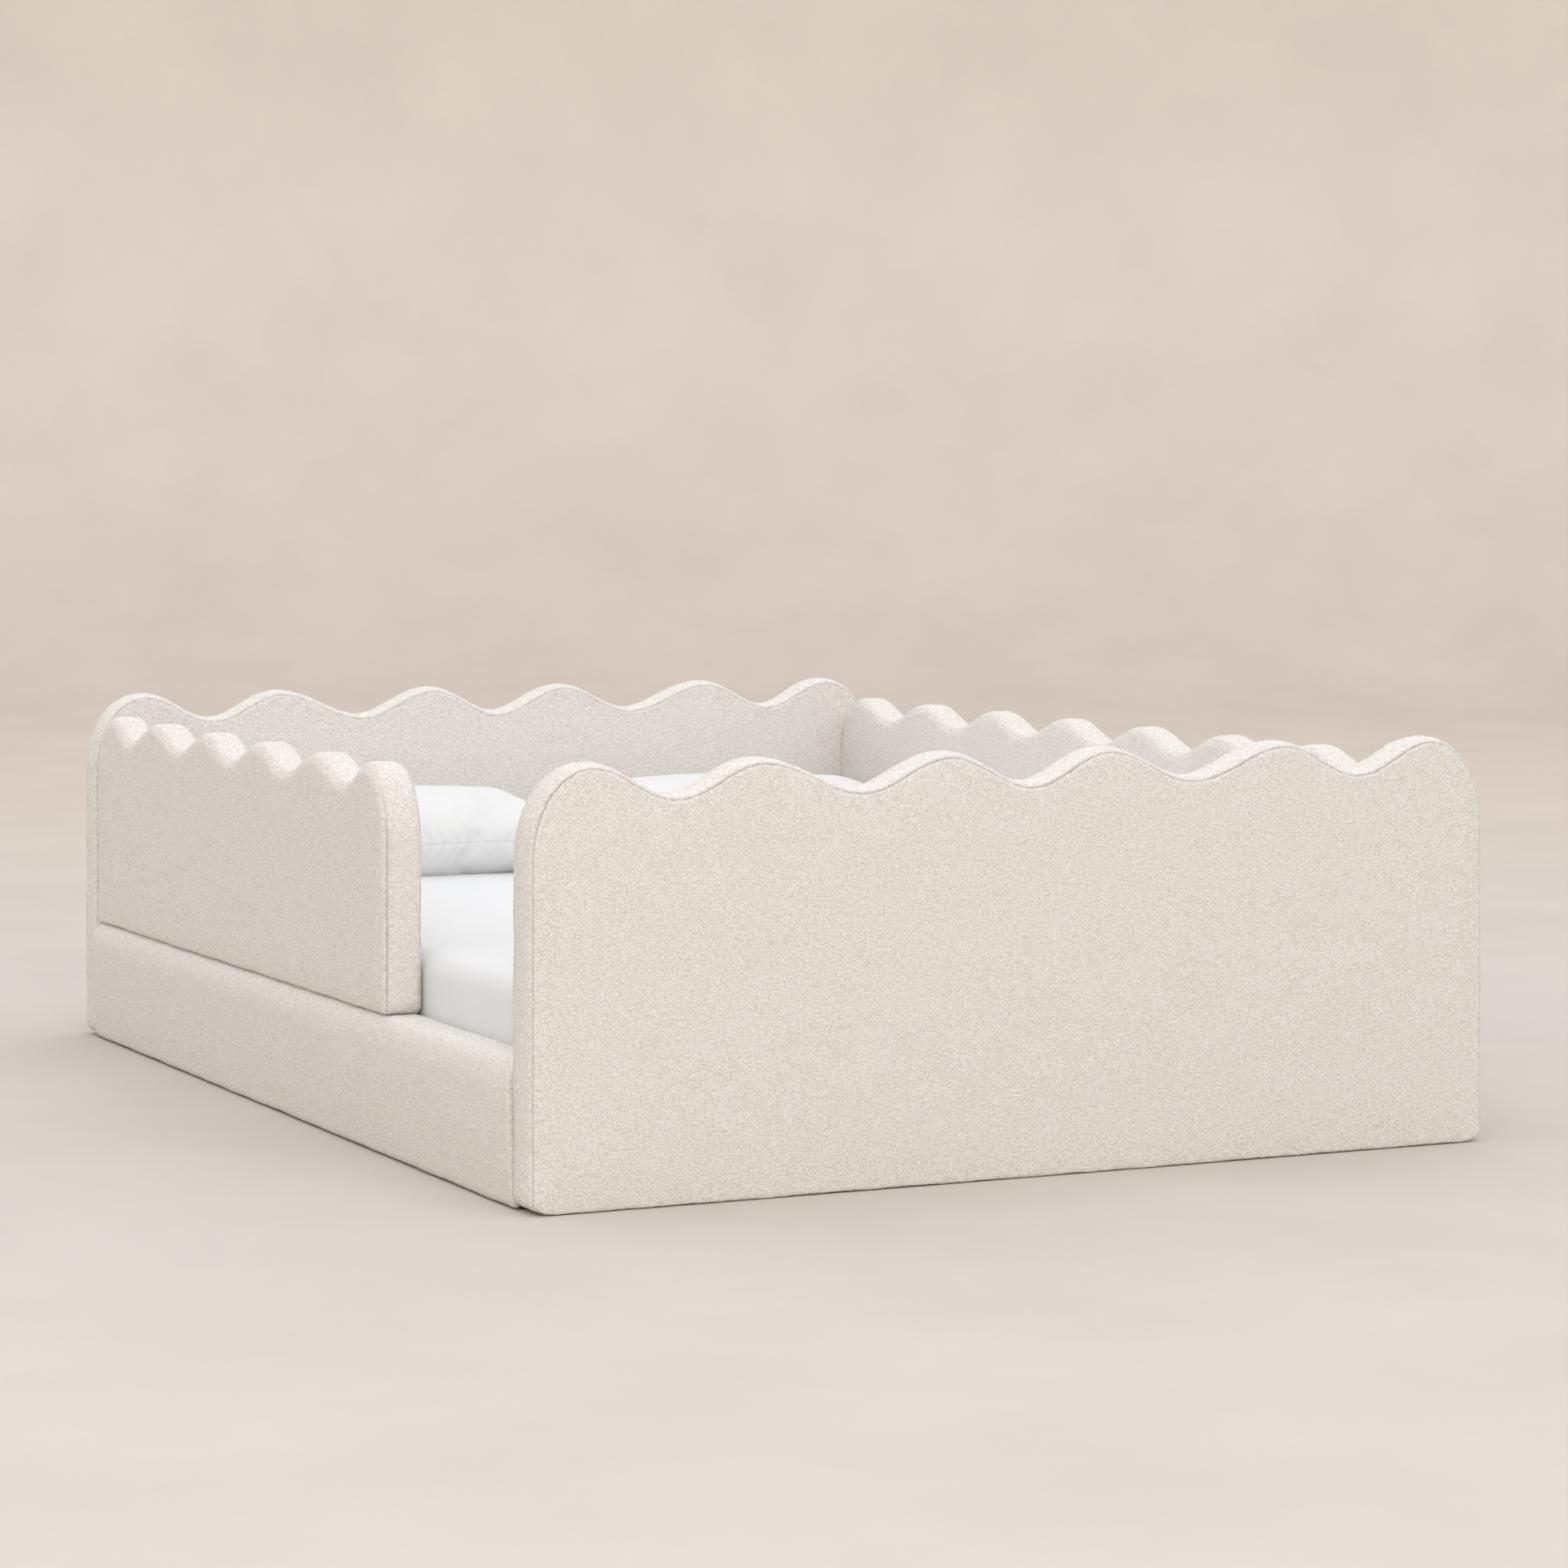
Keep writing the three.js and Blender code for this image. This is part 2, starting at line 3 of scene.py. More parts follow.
import json
import logging
import math
from collections.abc import Callable
from dataclasses import dataclass
from enum import Enum

import bmesh
import bpy
import numpy as np
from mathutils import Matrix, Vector, noise
from mathutils.geometry import delaunay_2d_cdt


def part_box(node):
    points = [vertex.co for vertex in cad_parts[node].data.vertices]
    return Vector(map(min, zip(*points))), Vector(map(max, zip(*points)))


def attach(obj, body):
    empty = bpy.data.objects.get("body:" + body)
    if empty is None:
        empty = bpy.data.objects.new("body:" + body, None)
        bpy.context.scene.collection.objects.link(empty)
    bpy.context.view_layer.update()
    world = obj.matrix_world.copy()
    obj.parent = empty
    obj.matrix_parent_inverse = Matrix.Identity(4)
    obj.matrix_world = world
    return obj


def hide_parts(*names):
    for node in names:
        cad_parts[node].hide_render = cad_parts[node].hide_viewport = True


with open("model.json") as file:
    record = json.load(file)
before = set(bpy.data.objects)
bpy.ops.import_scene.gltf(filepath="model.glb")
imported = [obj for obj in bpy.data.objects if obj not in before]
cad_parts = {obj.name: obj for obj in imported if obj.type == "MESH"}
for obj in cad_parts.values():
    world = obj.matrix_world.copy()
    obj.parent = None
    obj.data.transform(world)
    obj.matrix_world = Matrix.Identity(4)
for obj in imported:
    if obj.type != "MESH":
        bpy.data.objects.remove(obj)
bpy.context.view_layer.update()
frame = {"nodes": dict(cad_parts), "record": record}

LOG = logging.getLogger("bed")
MM = 0.001
Faces = list[tuple[int, ...]]


# ------------------------------------------------------------------ shader helpers
class Sockets(Enum):
    """Kinds of socket that a shader node group offers."""

    FLOAT = "NodeSocketFloat"
    COLOR = "NodeSocketColor"
    VECTOR = "NodeSocketVector"


class NodeSheet:
    """A node tree with short ways to add nodes, values and links."""

    def __init__(self, tree: bpy.types.NodeTree) -> None:
        """Starts on an empty tree.

        Args:
            tree: Material or group tree, which is cleared.
        """
        self.tree = tree
        tree.nodes.clear()

    def add(self, kind: str, **settings: object) -> bpy.types.Node:
        """Adds a node.

        Args:
            kind: Node type without its "ShaderNode" prefix.
            **settings: Attributes to set on the node.

        Returns:
            The new node.
        """
        node = self.tree.nodes.new(f"ShaderNode{kind}")
        for name, value in settings.items():
            setattr(node, name, value)
        return node

    def feed(self, node: bpy.types.Node, **inputs: object) -> None:
        """Sets or links inputs by name, where _ stands for a space.

        Args:
            node: Node whose inputs are fed.
            **inputs: Output sockets to link, or plain values to set.
        """
        for name, value in inputs.items():
            socket = node.inputs[name.replace("_", " ")]
            self.join(value, socket)

    def join(self, value: object, socket: bpy.types.NodeSocket) -> None:
        """Links an output to a socket, or sets the socket's value.

        Args:
            value: Output socket or plain value.
            socket: Input that takes it.
        """
        if isinstance(value, bpy.types.NodeSocket):
            self.tree.links.new(value, socket)
        else:
            socket.default_value = value

    def math(self, operation: str, first: object, second: object = 0.0) -> bpy.types.NodeSocket:
        """Adds a math node and returns its result.

        Args:
            operation: Math operation name.
            first: First operand, a socket or a number.
            second: Second operand, a socket or a number.

        Returns:
            The node's output socket.
        """
        node = self.add("Math", operation=operation)
        self.join(first, node.inputs[0])
        self.join(second, node.inputs[1])
        return node.outputs[0]

    def noise(self, place: object, scale: object, detail: float, **more: float) -> bpy.types.Node:
        """Adds a noise texture.

        Args:
            place: Where the noise is read.
            scale: Scale of the noise, a socket or a number.
            detail: Number of finer layers.
            **more: Further inputs by name.

        Returns:
            The noise node.
        """
        node = self.add("TexNoise")
        self.feed(node, Vector=place, Scale=scale, Detail=detail, **more)
        return node

    def spread(
        self, value: object, low: float, high: float, to: tuple[float, float] = (0.0, 1.0)
    ) -> bpy.types.NodeSocket:
        """Maps a value from low..high to another range, clamped.

        Args:
            value: Socket to map.
            low: Value that becomes the start of the new range.
            high: Value that becomes its end.
            to: The new range.

        Returns:
            The mapped value.
        """
        node = self.add("MapRange")
        self.feed(node, Value=value, From_Min=low, From_Max=high, To_Min=to[0], To_Max=to[1])
        return node.outputs[0]

    def blend(self, share: object, first: object, second: object) -> bpy.types.NodeSocket:
        """Mixes two colours.

        Args:
            share: Share of the second colour.
            first: First colour or socket.
            second: Second colour or socket.

        Returns:
            The mixed colour.
        """
        node = self.add("Mix", data_type="RGBA")
        ends = [socket for socket in node.inputs if socket.type == "RGBA"]
        self.join(share, node.inputs["Factor"])
        self.join(first, ends[0])
        self.join(second, ends[1])
        return next(socket for socket in node.outputs if socket.type == "RGBA")

    def stretched(self, vector: object, scale: object) -> bpy.types.NodeSocket:
        """Scales a vector per axis.

        Args:
            vector: Vector socket.
            scale: Factor along each axis, a socket or three numbers.

        Returns:
            The scaled vector.
        """
        node = self.add("VectorMath", operation="MULTIPLY")
        self.join(vector, node.inputs[0])
        self.join(scale, node.inputs[1])
        return node.outputs[0]

    def weighed(self, *parts: tuple[object, float]) -> bpy.types.NodeSocket:
        """Adds up values, each times its weight.

        Args:
            *parts: Value sockets with their weights.

        Returns:
            The sum.
        """
        shares = [self.math("MULTIPLY", value, weight) for value, weight in parts]
        total = shares[0]
        for share in shares[1:]:
            total = self.math("ADD", total, share)
        return total

    @property
    def place(self) -> bpy.types.NodeSocket:
        """Returns the object's own coordinates."""
        return self.add("TexCoord").outputs["Object"]


def new_group(
    name: str, inputs: dict[str, tuple[Sockets, object]], outputs: dict[str, Sockets]
) -> tuple[NodeSheet, bpy.types.Node, bpy.types.Node]:
    """Makes a shader node group with named sockets and nothing between them.

    Args:
        name: Name of the group.
        inputs: Kind and default of each input.
        outputs: Kind of each output.

    Returns:
        The sheet of the group's tree, its input node and its output node.
    """
    tree = bpy.data.node_groups.new(name, "ShaderNodeTree")
    sheet = NodeSheet(tree)
    for label, (kind, default) in inputs.items():
        socket = tree.interface.new_socket(label, in_out="INPUT", socket_type=kind.value)
        socket.default_value = default
    for label, kind in outputs.items():
        tree.interface.new_socket(label, in_out="OUTPUT", socket_type=kind.value)
    return sheet, tree.nodes.new("NodeGroupInput"), tree.nodes.new("NodeGroupOutput")


LOOP_SQUASH = (0.85, 0.85, 1.35)  # loops lie down, wider than high
LOOP_WANDER = 0.0016  # metres that a yarn loop strays from its place
WANDERS_PER_METRE = 500.0
CURLS_PER_METRE = 1300.0
ROWS_PER_METRE = (130.0, 130.0, 560.0)


def loop_pile_group() -> bpy.types.NodeTree:
    """Curly yarn loops on a knitted ground, with faint rows, painted shade in the loop hollows and in the
    seams, and a painted highlight on the loop tops.

    Returns:
        The node group, with a colour and a height.
    """
    sheet, start, end = new_group(
        "loop_pile",
        {
            "Loops per metre": (Sockets.FLOAT, 240.0),
            "Crest": (Sockets.COLOR, (0.9, 0.85, 0.78, 1.0)),
            "Hollow": (Sockets.COLOR, (0.5, 0.46, 0.42, 1.0)),
            "Seam": (Sockets.COLOR, (0.3, 0.26, 0.22, 1.0)),
            "Contrast": (Sockets.FLOAT, 1.0),
        },
        {"Color": Sockets.COLOR, "Height": Sockets.FLOAT},
    )
    place = sheet.stretched(sheet.place, LOOP_SQUASH)
    wobble = sheet.noise(place, WANDERS_PER_METRE, 1.0)
    nudge = sheet.add("VectorMath", operation="MULTIPLY_ADD")
    sheet.join(wobble.outputs["Color"], nudge.inputs[0])
    nudge.inputs[1].default_value = (LOOP_WANDER,) * 3
    sheet.join(place, nudge.inputs[2])
    loops = sheet.add("TexVoronoi", feature="F1")
    sheet.feed(loops, Vector=nudge.outputs[0], Scale=start.outputs["Loops per metre"])
    dome = sheet.spread(loops.outputs["Distance"], 0.78, 0.14)
    curl = sheet.noise(nudge.outputs[0], CURLS_PER_METRE, 1.0, Roughness=0.5)
    curls = sheet.spread(curl.outputs["Fac"], 0.3, 0.7)
    rows = sheet.noise(sheet.stretched(place, ROWS_PER_METRE), 1.0, 1.0)
    row = sheet.spread(rows.outputs["Fac"], 0.3, 0.7)
    height = sheet.weighed((dome, 0.5), (curls, 0.3), (row, 0.2))
    # Painted highlight and shade: the loop height picks the colour, so loop tops are lighter and hollows
    # darker, as light and shadow would make them; Contrast widens the spread.
    strong = sheet.math("MULTIPLY", sheet.math("SUBTRACT", height, 0.5), start.outputs["Contrast"])
    tone = sheet.spread(sheet.math("ADD", strong, 0.5), 0.12, 0.88)
    pile_color = sheet.blend(tone, start.outputs["Hollow"], start.outputs["Crest"])
    # Painted shade: the seam mark darkens the colour towards the seam shade colour, as a shadow in the
    # seam's crease would.
    seam = sheet.add("Attribute", attribute_name="seam")
    color = sheet.blend(seam.outputs["Fac"], pile_color, start.outputs["Seam"])
    sheet.feed(end, Color=color, Height=height)
    return sheet.tree


def grain_group() -> bpy.types.NodeTree:
    """Long timber grain with pores, as a mask and a height.

    Returns:
        The node group.
    """
    sheet, start, end = new_group(
        "timber_grain",
        {"Scale": (Sockets.VECTOR, (8.0, 60.0, 60.0)), "Pores": (Sockets.FLOAT, 0.3)},
        {"Mask": Sockets.FLOAT, "Height": Sockets.FLOAT},
    )
    scaled = sheet.stretched(sheet.place, start.outputs["Scale"])
    rings = sheet.noise(scaled, 1.0, 4.0, Distortion=1.2)
    bands = sheet.math("FRACT", sheet.math("MULTIPLY", rings.outputs["Fac"], 7.0))
    pores = sheet.noise(scaled, 9.0, 2.0)
    pore = sheet.math("MULTIPLY", sheet.spread(pores.outputs["Fac"], 0.45, 0.75), start.outputs["Pores"])
    mask = sheet.math("ADD", sheet.math("MULTIPLY", bands, 0.6), pore)
    sheet.feed(end, Mask=mask, Height=sheet.math("SUBTRACT", 1.0, mask))
    return sheet.tree


def weave_group() -> bpy.types.NodeTree:
    """Fine plain weave with slight creases, as a height and a tone mask.

    Returns:
        The node group.
    """
    sheet, start, end = new_group(
        "plain_weave",
        {"Threads per metre": (Sockets.FLOAT, 1300.0), "Creases": (Sockets.FLOAT, 0.4)},
        {"Height": Sockets.FLOAT, "Tone": Sockets.FLOAT},
    )
    place = sheet.place
    threads = sheet.noise(place, start.outputs["Threads per metre"], 1.0)
    folds = sheet.noise(sheet.stretched(place, (26.0, 26.0, 7.0)), 1.0, 3.0)
    crease = sheet.math("MULTIPLY", folds.outputs["Fac"], start.outputs["Creases"])
    height = sheet.math("ADD", sheet.math("MULTIPLY", threads.outputs["Fac"], 0.08), crease)
    sheet.feed(end, Height=height, Tone=sheet.spread(folds.outputs["Fac"], 0.3, 0.7))
    return sheet.tree


def speckle_group() -> bpy.types.NodeTree:
    """Fine orange-peel speckle with cloudy wear, as a mask and a height.

    Returns:
        The node group.
    """
    sheet, start, end = new_group(
        "speckle",
        {"Grains per metre": (Sockets.FLOAT, 900.0), "Cloud": (Sockets.FLOAT, 0.5)},
        {"Mask": Sockets.FLOAT, "Height": Sockets.FLOAT},
    )
    place = sheet.place
    grains = sheet.noise(place, start.outputs["Grains per metre"], 2.0)
    clouds = sheet.noise(place, 30.0, 4.0)
    mask = sheet.weighed((clouds.outputs["Fac"], start.outputs["Cloud"]), (grains.outputs["Fac"], 0.5))
    sheet.feed(end, Mask=mask, Height=grains.outputs["Fac"])
    return sheet.tree


class Effects:
    """The shared node groups, each built once on first use."""

    makers: dict[str, Callable[[], bpy.types.NodeTree]] = {
        "loop_pile": loop_pile_group,
        "timber_grain": grain_group,
        "plain_weave": weave_group,
        "speckle": speckle_group,
    }

    @classmethod
    def place(cls, sheet: NodeSheet, name: str) -> bpy.types.Node:
        """Adds one of the shared groups to a material.

        Args:
            sheet: Sheet of the material.
            name: Name of the group.

        Returns:
            The group node.
        """
        tree = bpy.data.node_groups.get(name) or cls.makers[name]()
        return sheet.add("Group", node_tree=tree)


def shader_base(name: str) -> tuple[bpy.types.Material, NodeSheet, bpy.types.Node]:
    """Makes a material with a Principled shader joined to its output.

    Args:
        name: Name of the material.

    Returns:
        The material, its sheet and the Principled node.
    """
    material = bpy.data.materials.new(name)
    material.use_nodes = True
    sheet = NodeSheet(material.node_tree)
    shader = sheet.add("BsdfPrincipled")
    output = sheet.add("OutputMaterial")
    sheet.join(shader.outputs[0], output.inputs["Surface"])
    return material, sheet, shader


def raise_surface(
    sheet: NodeSheet, shader: bpy.types.Node, height: object, distance: float, strength: float
) -> None:
    """Feeds a height to the shader's normal through a bump.

    Args:
        sheet: Sheet of the material.
        shader: Principled node.
        height: Height socket.
        distance: Relief in metres.
        strength: Strength of the relief.
    """
    bump = sheet.add("Bump")
    sheet.feed(bump, Height=height, Distance=distance, Strength=strength)
    sheet.join(bump.outputs[0], shader.inputs["Normal"])


# ------------------------------------------------------------------ finishes
@dataclass(frozen=True)
class LoopedWool:
    """Cream looped upholstery cloth."""

    name: str = "cream_loop_cloth"
    # The cloth's own cream colour lies between the next two colours: the first is lifted by a painted
    # highlight on the loop tops, the second lowered by painted shade in the loop hollows.
    crest_highlight: tuple[float, ...] = (0.955, 0.925, 0.885, 1.0)
    hollow_shade: tuple[float, ...] = (0.69, 0.655, 0.61, 1.0)
    # Colour of the painted shade in the seams.
    seam: tuple[float, ...] = (0.33, 0.285, 0.235, 1.0)
    loops_per_metre: float = 340.0
    contrast: float = 1.4
    relief: float = 0.0013

    def material(self) -> bpy.types.Material:
        """Makes the cloth's material.

        Returns:
            The new material.
        """
        material, sheet, shader = shader_base(self.name)
        pile = Effects.place(sheet, "loop_pile")
        sheet.feed(
            pile, Loops_per_metre=self.loops_per_metre, Crest=self.crest_highlight, Hollow=self.hollow_shade,
            Seam=self.seam, Contrast=self.contrast,
        )
        raise_surface(sheet, shader, pile.outputs["Height"], self.relief, 0.9)
        sheet.feed(
            shader, Base_Color=pile.outputs["Color"], Roughness=0.95, Specular_IOR_Level=0.15
        )
        return material


@dataclass(frozen=True)
class Cotton:
    """Smooth white bed cotton."""

    name: str
    color: tuple[float, ...]
    shade: tuple[float, ...]
    creases: float
    relief: float

    def material(self) -> bpy.types.Material:
        """Makes the cotton's material.

        Returns:
            The new material.
        """
        material, sheet, shader = shader_base(self.name)
        weave = Effects.place(sheet, "plain_weave")
        sheet.feed(weave, Creases=self.creases)
        tone = sheet.blend(weave.outputs["Tone"], self.shade, self.color)
        raise_surface(sheet, shader, weave.outputs["Height"], self.relief, 0.6)
        sheet.feed(
            shader, Base_Color=tone, Roughness=0.82, Sheen_Weight=0.08, Specular_IOR_Level=0.25
        )
        return material


@dataclass(frozen=True)
class Timber:
    """Bare timber or plywood, with the grain along one axis."""

    name: str
    light: tuple[float, ...]
    dark: tuple[float, ...]
    stretch: tuple[float, float, float]
    pores: float = 0.3

    def material(self) -> bpy.types.Material:
        """Makes the timber's material.

        Returns:
            The new material.
        """
        material, sheet, shader = shader_base(self.name)
        grain = Effects.place(sheet, "timber_grain")
        sheet.feed(grain, Scale=self.stretch, Pores=self.pores)
        color = sheet.blend(grain.outputs["Mask"], self.light, self.dark)
        rough = sheet.spread(grain.outputs["Mask"], 0.0, 1.0, (0.52, 0.72))
        sheet.feed(shader, Base_Color=color, Roughness=rough)
        raise_surface(sheet, shader, grain.outputs["Height"], 0.0004, 0.5)
        return material


@dataclass(frozen=True)
class Metal:
    """Coated or plated steel."""

    name: str
    color: tuple[float, ...]
    worn: tuple[float, ...]
    metallic: float
    roughness: tuple[float, float]
    grains_per_metre: float = 900.0

    def material(self) -> bpy.types.Material:
        """Makes the metal's material.

        Returns:
            The new material.
        """
        material, sheet, shader = shader_base(self.name)
        speckle = Effects.place(sheet, "speckle")
        sheet.feed(speckle, Grains_per_metre=self.grains_per_metre)
        color = sheet.blend(speckle.outputs["Mask"], self.color, self.worn)
        rough = sheet.spread(speckle.outputs["Mask"], 0.2, 0.8, self.roughness)
        sheet.feed(shader, Base_Color=color, Roughness=rough, Metallic=self.metallic)
        raise_surface(sheet, shader, speckle.outputs["Height"], 0.0002, 0.4)
        return material


@dataclass(frozen=True)
class Felt:
    """Pressed grey-brown felt."""

    name: str = "pressed_felt"
    dark: tuple[float, ...] = (0.2, 0.18, 0.16, 1.0)
    light: tuple[float, ...] = (0.34, 0.31, 0.28, 1.0)

    def material(self) -> bpy.types.Material:
        """Makes the felt's material.

        Returns:
            The new material.
        """
        material, sheet, shader = shader_base(self.name)
        speckle = Effects.place(sheet, "speckle")
        sheet.feed(speckle, Grains_per_metre=1500.0, Cloud=0.4)
        color = sheet.blend(speckle.outputs["Mask"], self.dark, self.light)
        raise_surface(sheet, shader, speckle.outputs["Height"], 0.0006, 0.8)
        sheet.feed(shader, Base_Color=color, Roughness=1.0)
        return material


@dataclass(frozen=True)
class StudioPaper:
    """Warm pale plaster of the studio's floor and its swept-up wall."""

    name: str = "studio_plaster"
    floor: tuple[float, ...] = (0.60, 0.56, 0.515, 1.0)
    far: tuple[float, ...] = (0.625, 0.55, 0.49, 1.0)
    wall: tuple[float, ...] = (0.735, 0.665, 0.60, 1.0)
    cloud: float = 0.04

    def material(self) -> bpy.types.Material:
        """Makes the plaster's material.

        Returns:
            The new material.
        """
        material, sheet, shader = shader_base(self.name)
        place = sheet.place
        reach = sheet.add("VectorMath", operation="LENGTH")
        sheet.join(sheet.stretched(place, (1.0, 1.0, 0.0)), reach.inputs[0])
        away = sheet.spread(reach.outputs["Value"], 1.8, 7.0)
        split = sheet.add("SeparateXYZ")
        sheet.join(place, split.inputs[0])
        color = sheet.blend(away, self.floor, self.far)
        color = sheet.blend(sheet.spread(split.outputs["Z"], 0.1, 2.2), color, self.wall)
        clouds = sheet.noise(place, 1.6, 6.0, Roughness=0.6)
        shade = sheet.add("HueSaturation")
        tone = sheet.spread(clouds.outputs["Fac"], 0.3, 0.7, (1 - self.cloud, 1 + self.cloud))
        sheet.feed(shade, Color=color, Value=tone)
        sheet.feed(
            shader, Base_Color=shade.outputs["Color"], Roughness=0.95, Specular_IOR_Level=0.1
        )
        return material


class Finish(Enum):
    """Every finish on the bed, made into a material once."""

    CLOTH = LoopedWool()
    SHEET = Cotton("fitted_cotton", (0.76, 0.765, 0.775, 1.0), (0.74, 0.745, 0.76, 1.0), 0.12, 0.001)
    PILLOWCASE = Cotton("washed_cotton", (0.75, 0.75, 0.75, 1.0), (0.72, 0.72, 0.722, 1.0), 0.5, 0.0025)
    PLYWOOD = Timber("birch_ply", (0.66, 0.5, 0.31, 1), (0.5, 0.35, 0.2, 1), (6.0, 6.0, 70.0), 0.2)
    SLAT = Timber("pine_across", (0.74, 0.56, 0.34, 1), (0.55, 0.37, 0.19, 1), (5.0, 70.0, 60.0))
    BEAM = Timber("pine_along", (0.72, 0.54, 0.33, 1), (0.53, 0.36, 0.19, 1), (60.0, 5.0, 60.0))
    BLACK_STEEL = Metal("black_powder_coat", (0.02, 0.02, 0.022, 1), (0.06, 0.06, 0.062, 1), 0.3, (0.4, 0.6))
    ZINC = Metal("zinc_plate", (0.5, 0.51, 0.53, 1), (0.7, 0.7, 0.7, 1), 1.0, (0.25, 0.5), 400.0)
    FELT = Felt()
    PAPER = StudioPaper()

    def on(self, piece: bpy.types.Object) -> None:
        """Gives a piece this finish alone.

        Args:
            piece: Mesh object to dress.
        """
        material = bpy.data.materials.get(self.value.name) or self.value.material()
        piece.data.materials.clear()
        piece.data.materials.append(material)


# ------------------------------------------------------------------ mesh helpers
def turned(points: np.ndarray, yaw: float, offset: tuple[float, float, float]) -> np.ndarray:
    """Turns points about +Z and moves them.

    Args:
        points: Points, one per row.
        yaw: Turn in radians.
        offset: Move after the turn.

    Returns:
        The placed points.
    """
    cos, sin = math.cos(yaw), math.sin(yaw)
    turn = np.array([[cos, -sin, 0.0], [sin, cos, 0.0], [0.0, 0.0, 1.0]])
    return points @ turn.T + np.array(offset)


def in_scene(name: str, data: bpy.types.ID) -> bpy.types.Object:
    """Puts a mesh, light or camera in the scene.

    Args:
        name: Name of the object.
        data: What the object shows.

    Returns:
        The new object.
    """
    thing = bpy.data.objects.new(name, data)
    bpy.context.scene.collection.objects.link(thing)
    return thing


def hand_over(
    piece: bpy.types.Object, finish: "Finish", body: str, node: str
) -> bpy.types.Object:
    """Dresses a piece, hangs it on its body and hides the node whose place it takes.

    Args:
        piece: Finished mesh object.
        finish: Its finish.
        body: Body that it rides on.
        node: Node whose place it takes.

    Returns:
        The same piece.
    """
    finish.on(piece)
    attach(piece, body)
    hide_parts(node)
    return piece


def new_piece(name: str, points: np.ndarray, faces: Faces) -> bpy.types.Object:
    """Makes a smooth-shaded mesh object in the scene.

    Args:
        name: Name of the object.
        points: Vertices, one per row.
        faces: Corner numbers of each face.

    Returns:
        The new object.
    """
    mesh = bpy.data.meshes.new(name)
    mesh.from_pydata(points.tolist(), [], faces)
    mesh.polygons.foreach_set("use_smooth", [True] * len(mesh.polygons))
    mesh.update()
    return in_scene(name, mesh)


def resampled(path: np.ndarray, pitch: float) -> np.ndarray:
    """Spreads points evenly along a closed path.

    Args:
        path: Corner points of the closed path.
        pitch: Distance between the new points.

    Returns:
        The new points.
    """
    closed = np.vstack([path, path[:1]])
    steps = np.linalg.norm(np.diff(closed, axis=0), axis=1)
    along = np.concatenate([[0.0], np.cumsum(steps)])
    count = int(along[-1] / pitch)
    marks = np.linspace(0.0, along[-1], count, endpoint=False)
    return np.column_stack([np.interp(marks, along, closed[:, axis]) for axis in (0, 1)])


def loop_normals(loop: np.ndarray) -> np.ndarray:
    """Outward normals of a clockwise closed loop.

    Args:
        loop: Points of the loop.

    Returns:
        One unit normal per point.
    """
    ahead = np.roll(loop, -2, axis=0) - np.roll(loop, 2, axis=0)
    normals = np.column_stack([-ahead[:, 1], ahead[:, 0]])
    return normals / np.linalg.norm(normals, axis=1, keepdims=True)


def quarter_turn(steps: int) -> list[tuple[float, float]]:
    """Walks a rounded corner in even steps.

    Args:
        steps: Number of steps over the quarter circle.

    Returns:
        For each point, 1 less the sine and 1 less the cosine of its angle.
    """
    angles = [math.pi / 2 * step / steps for step in range(steps + 1)]
    return [(1 - math.sin(angle), 1 - math.cos(angle)) for angle in angles]


def eased(share: np.ndarray | float) -> np.ndarray | float:
    """Smooth step from 0 to 1, flat at both ends."""
    kept = np.clip(share, 0.0, 1.0)
    return kept * kept * (3.0 - 2.0 * kept)


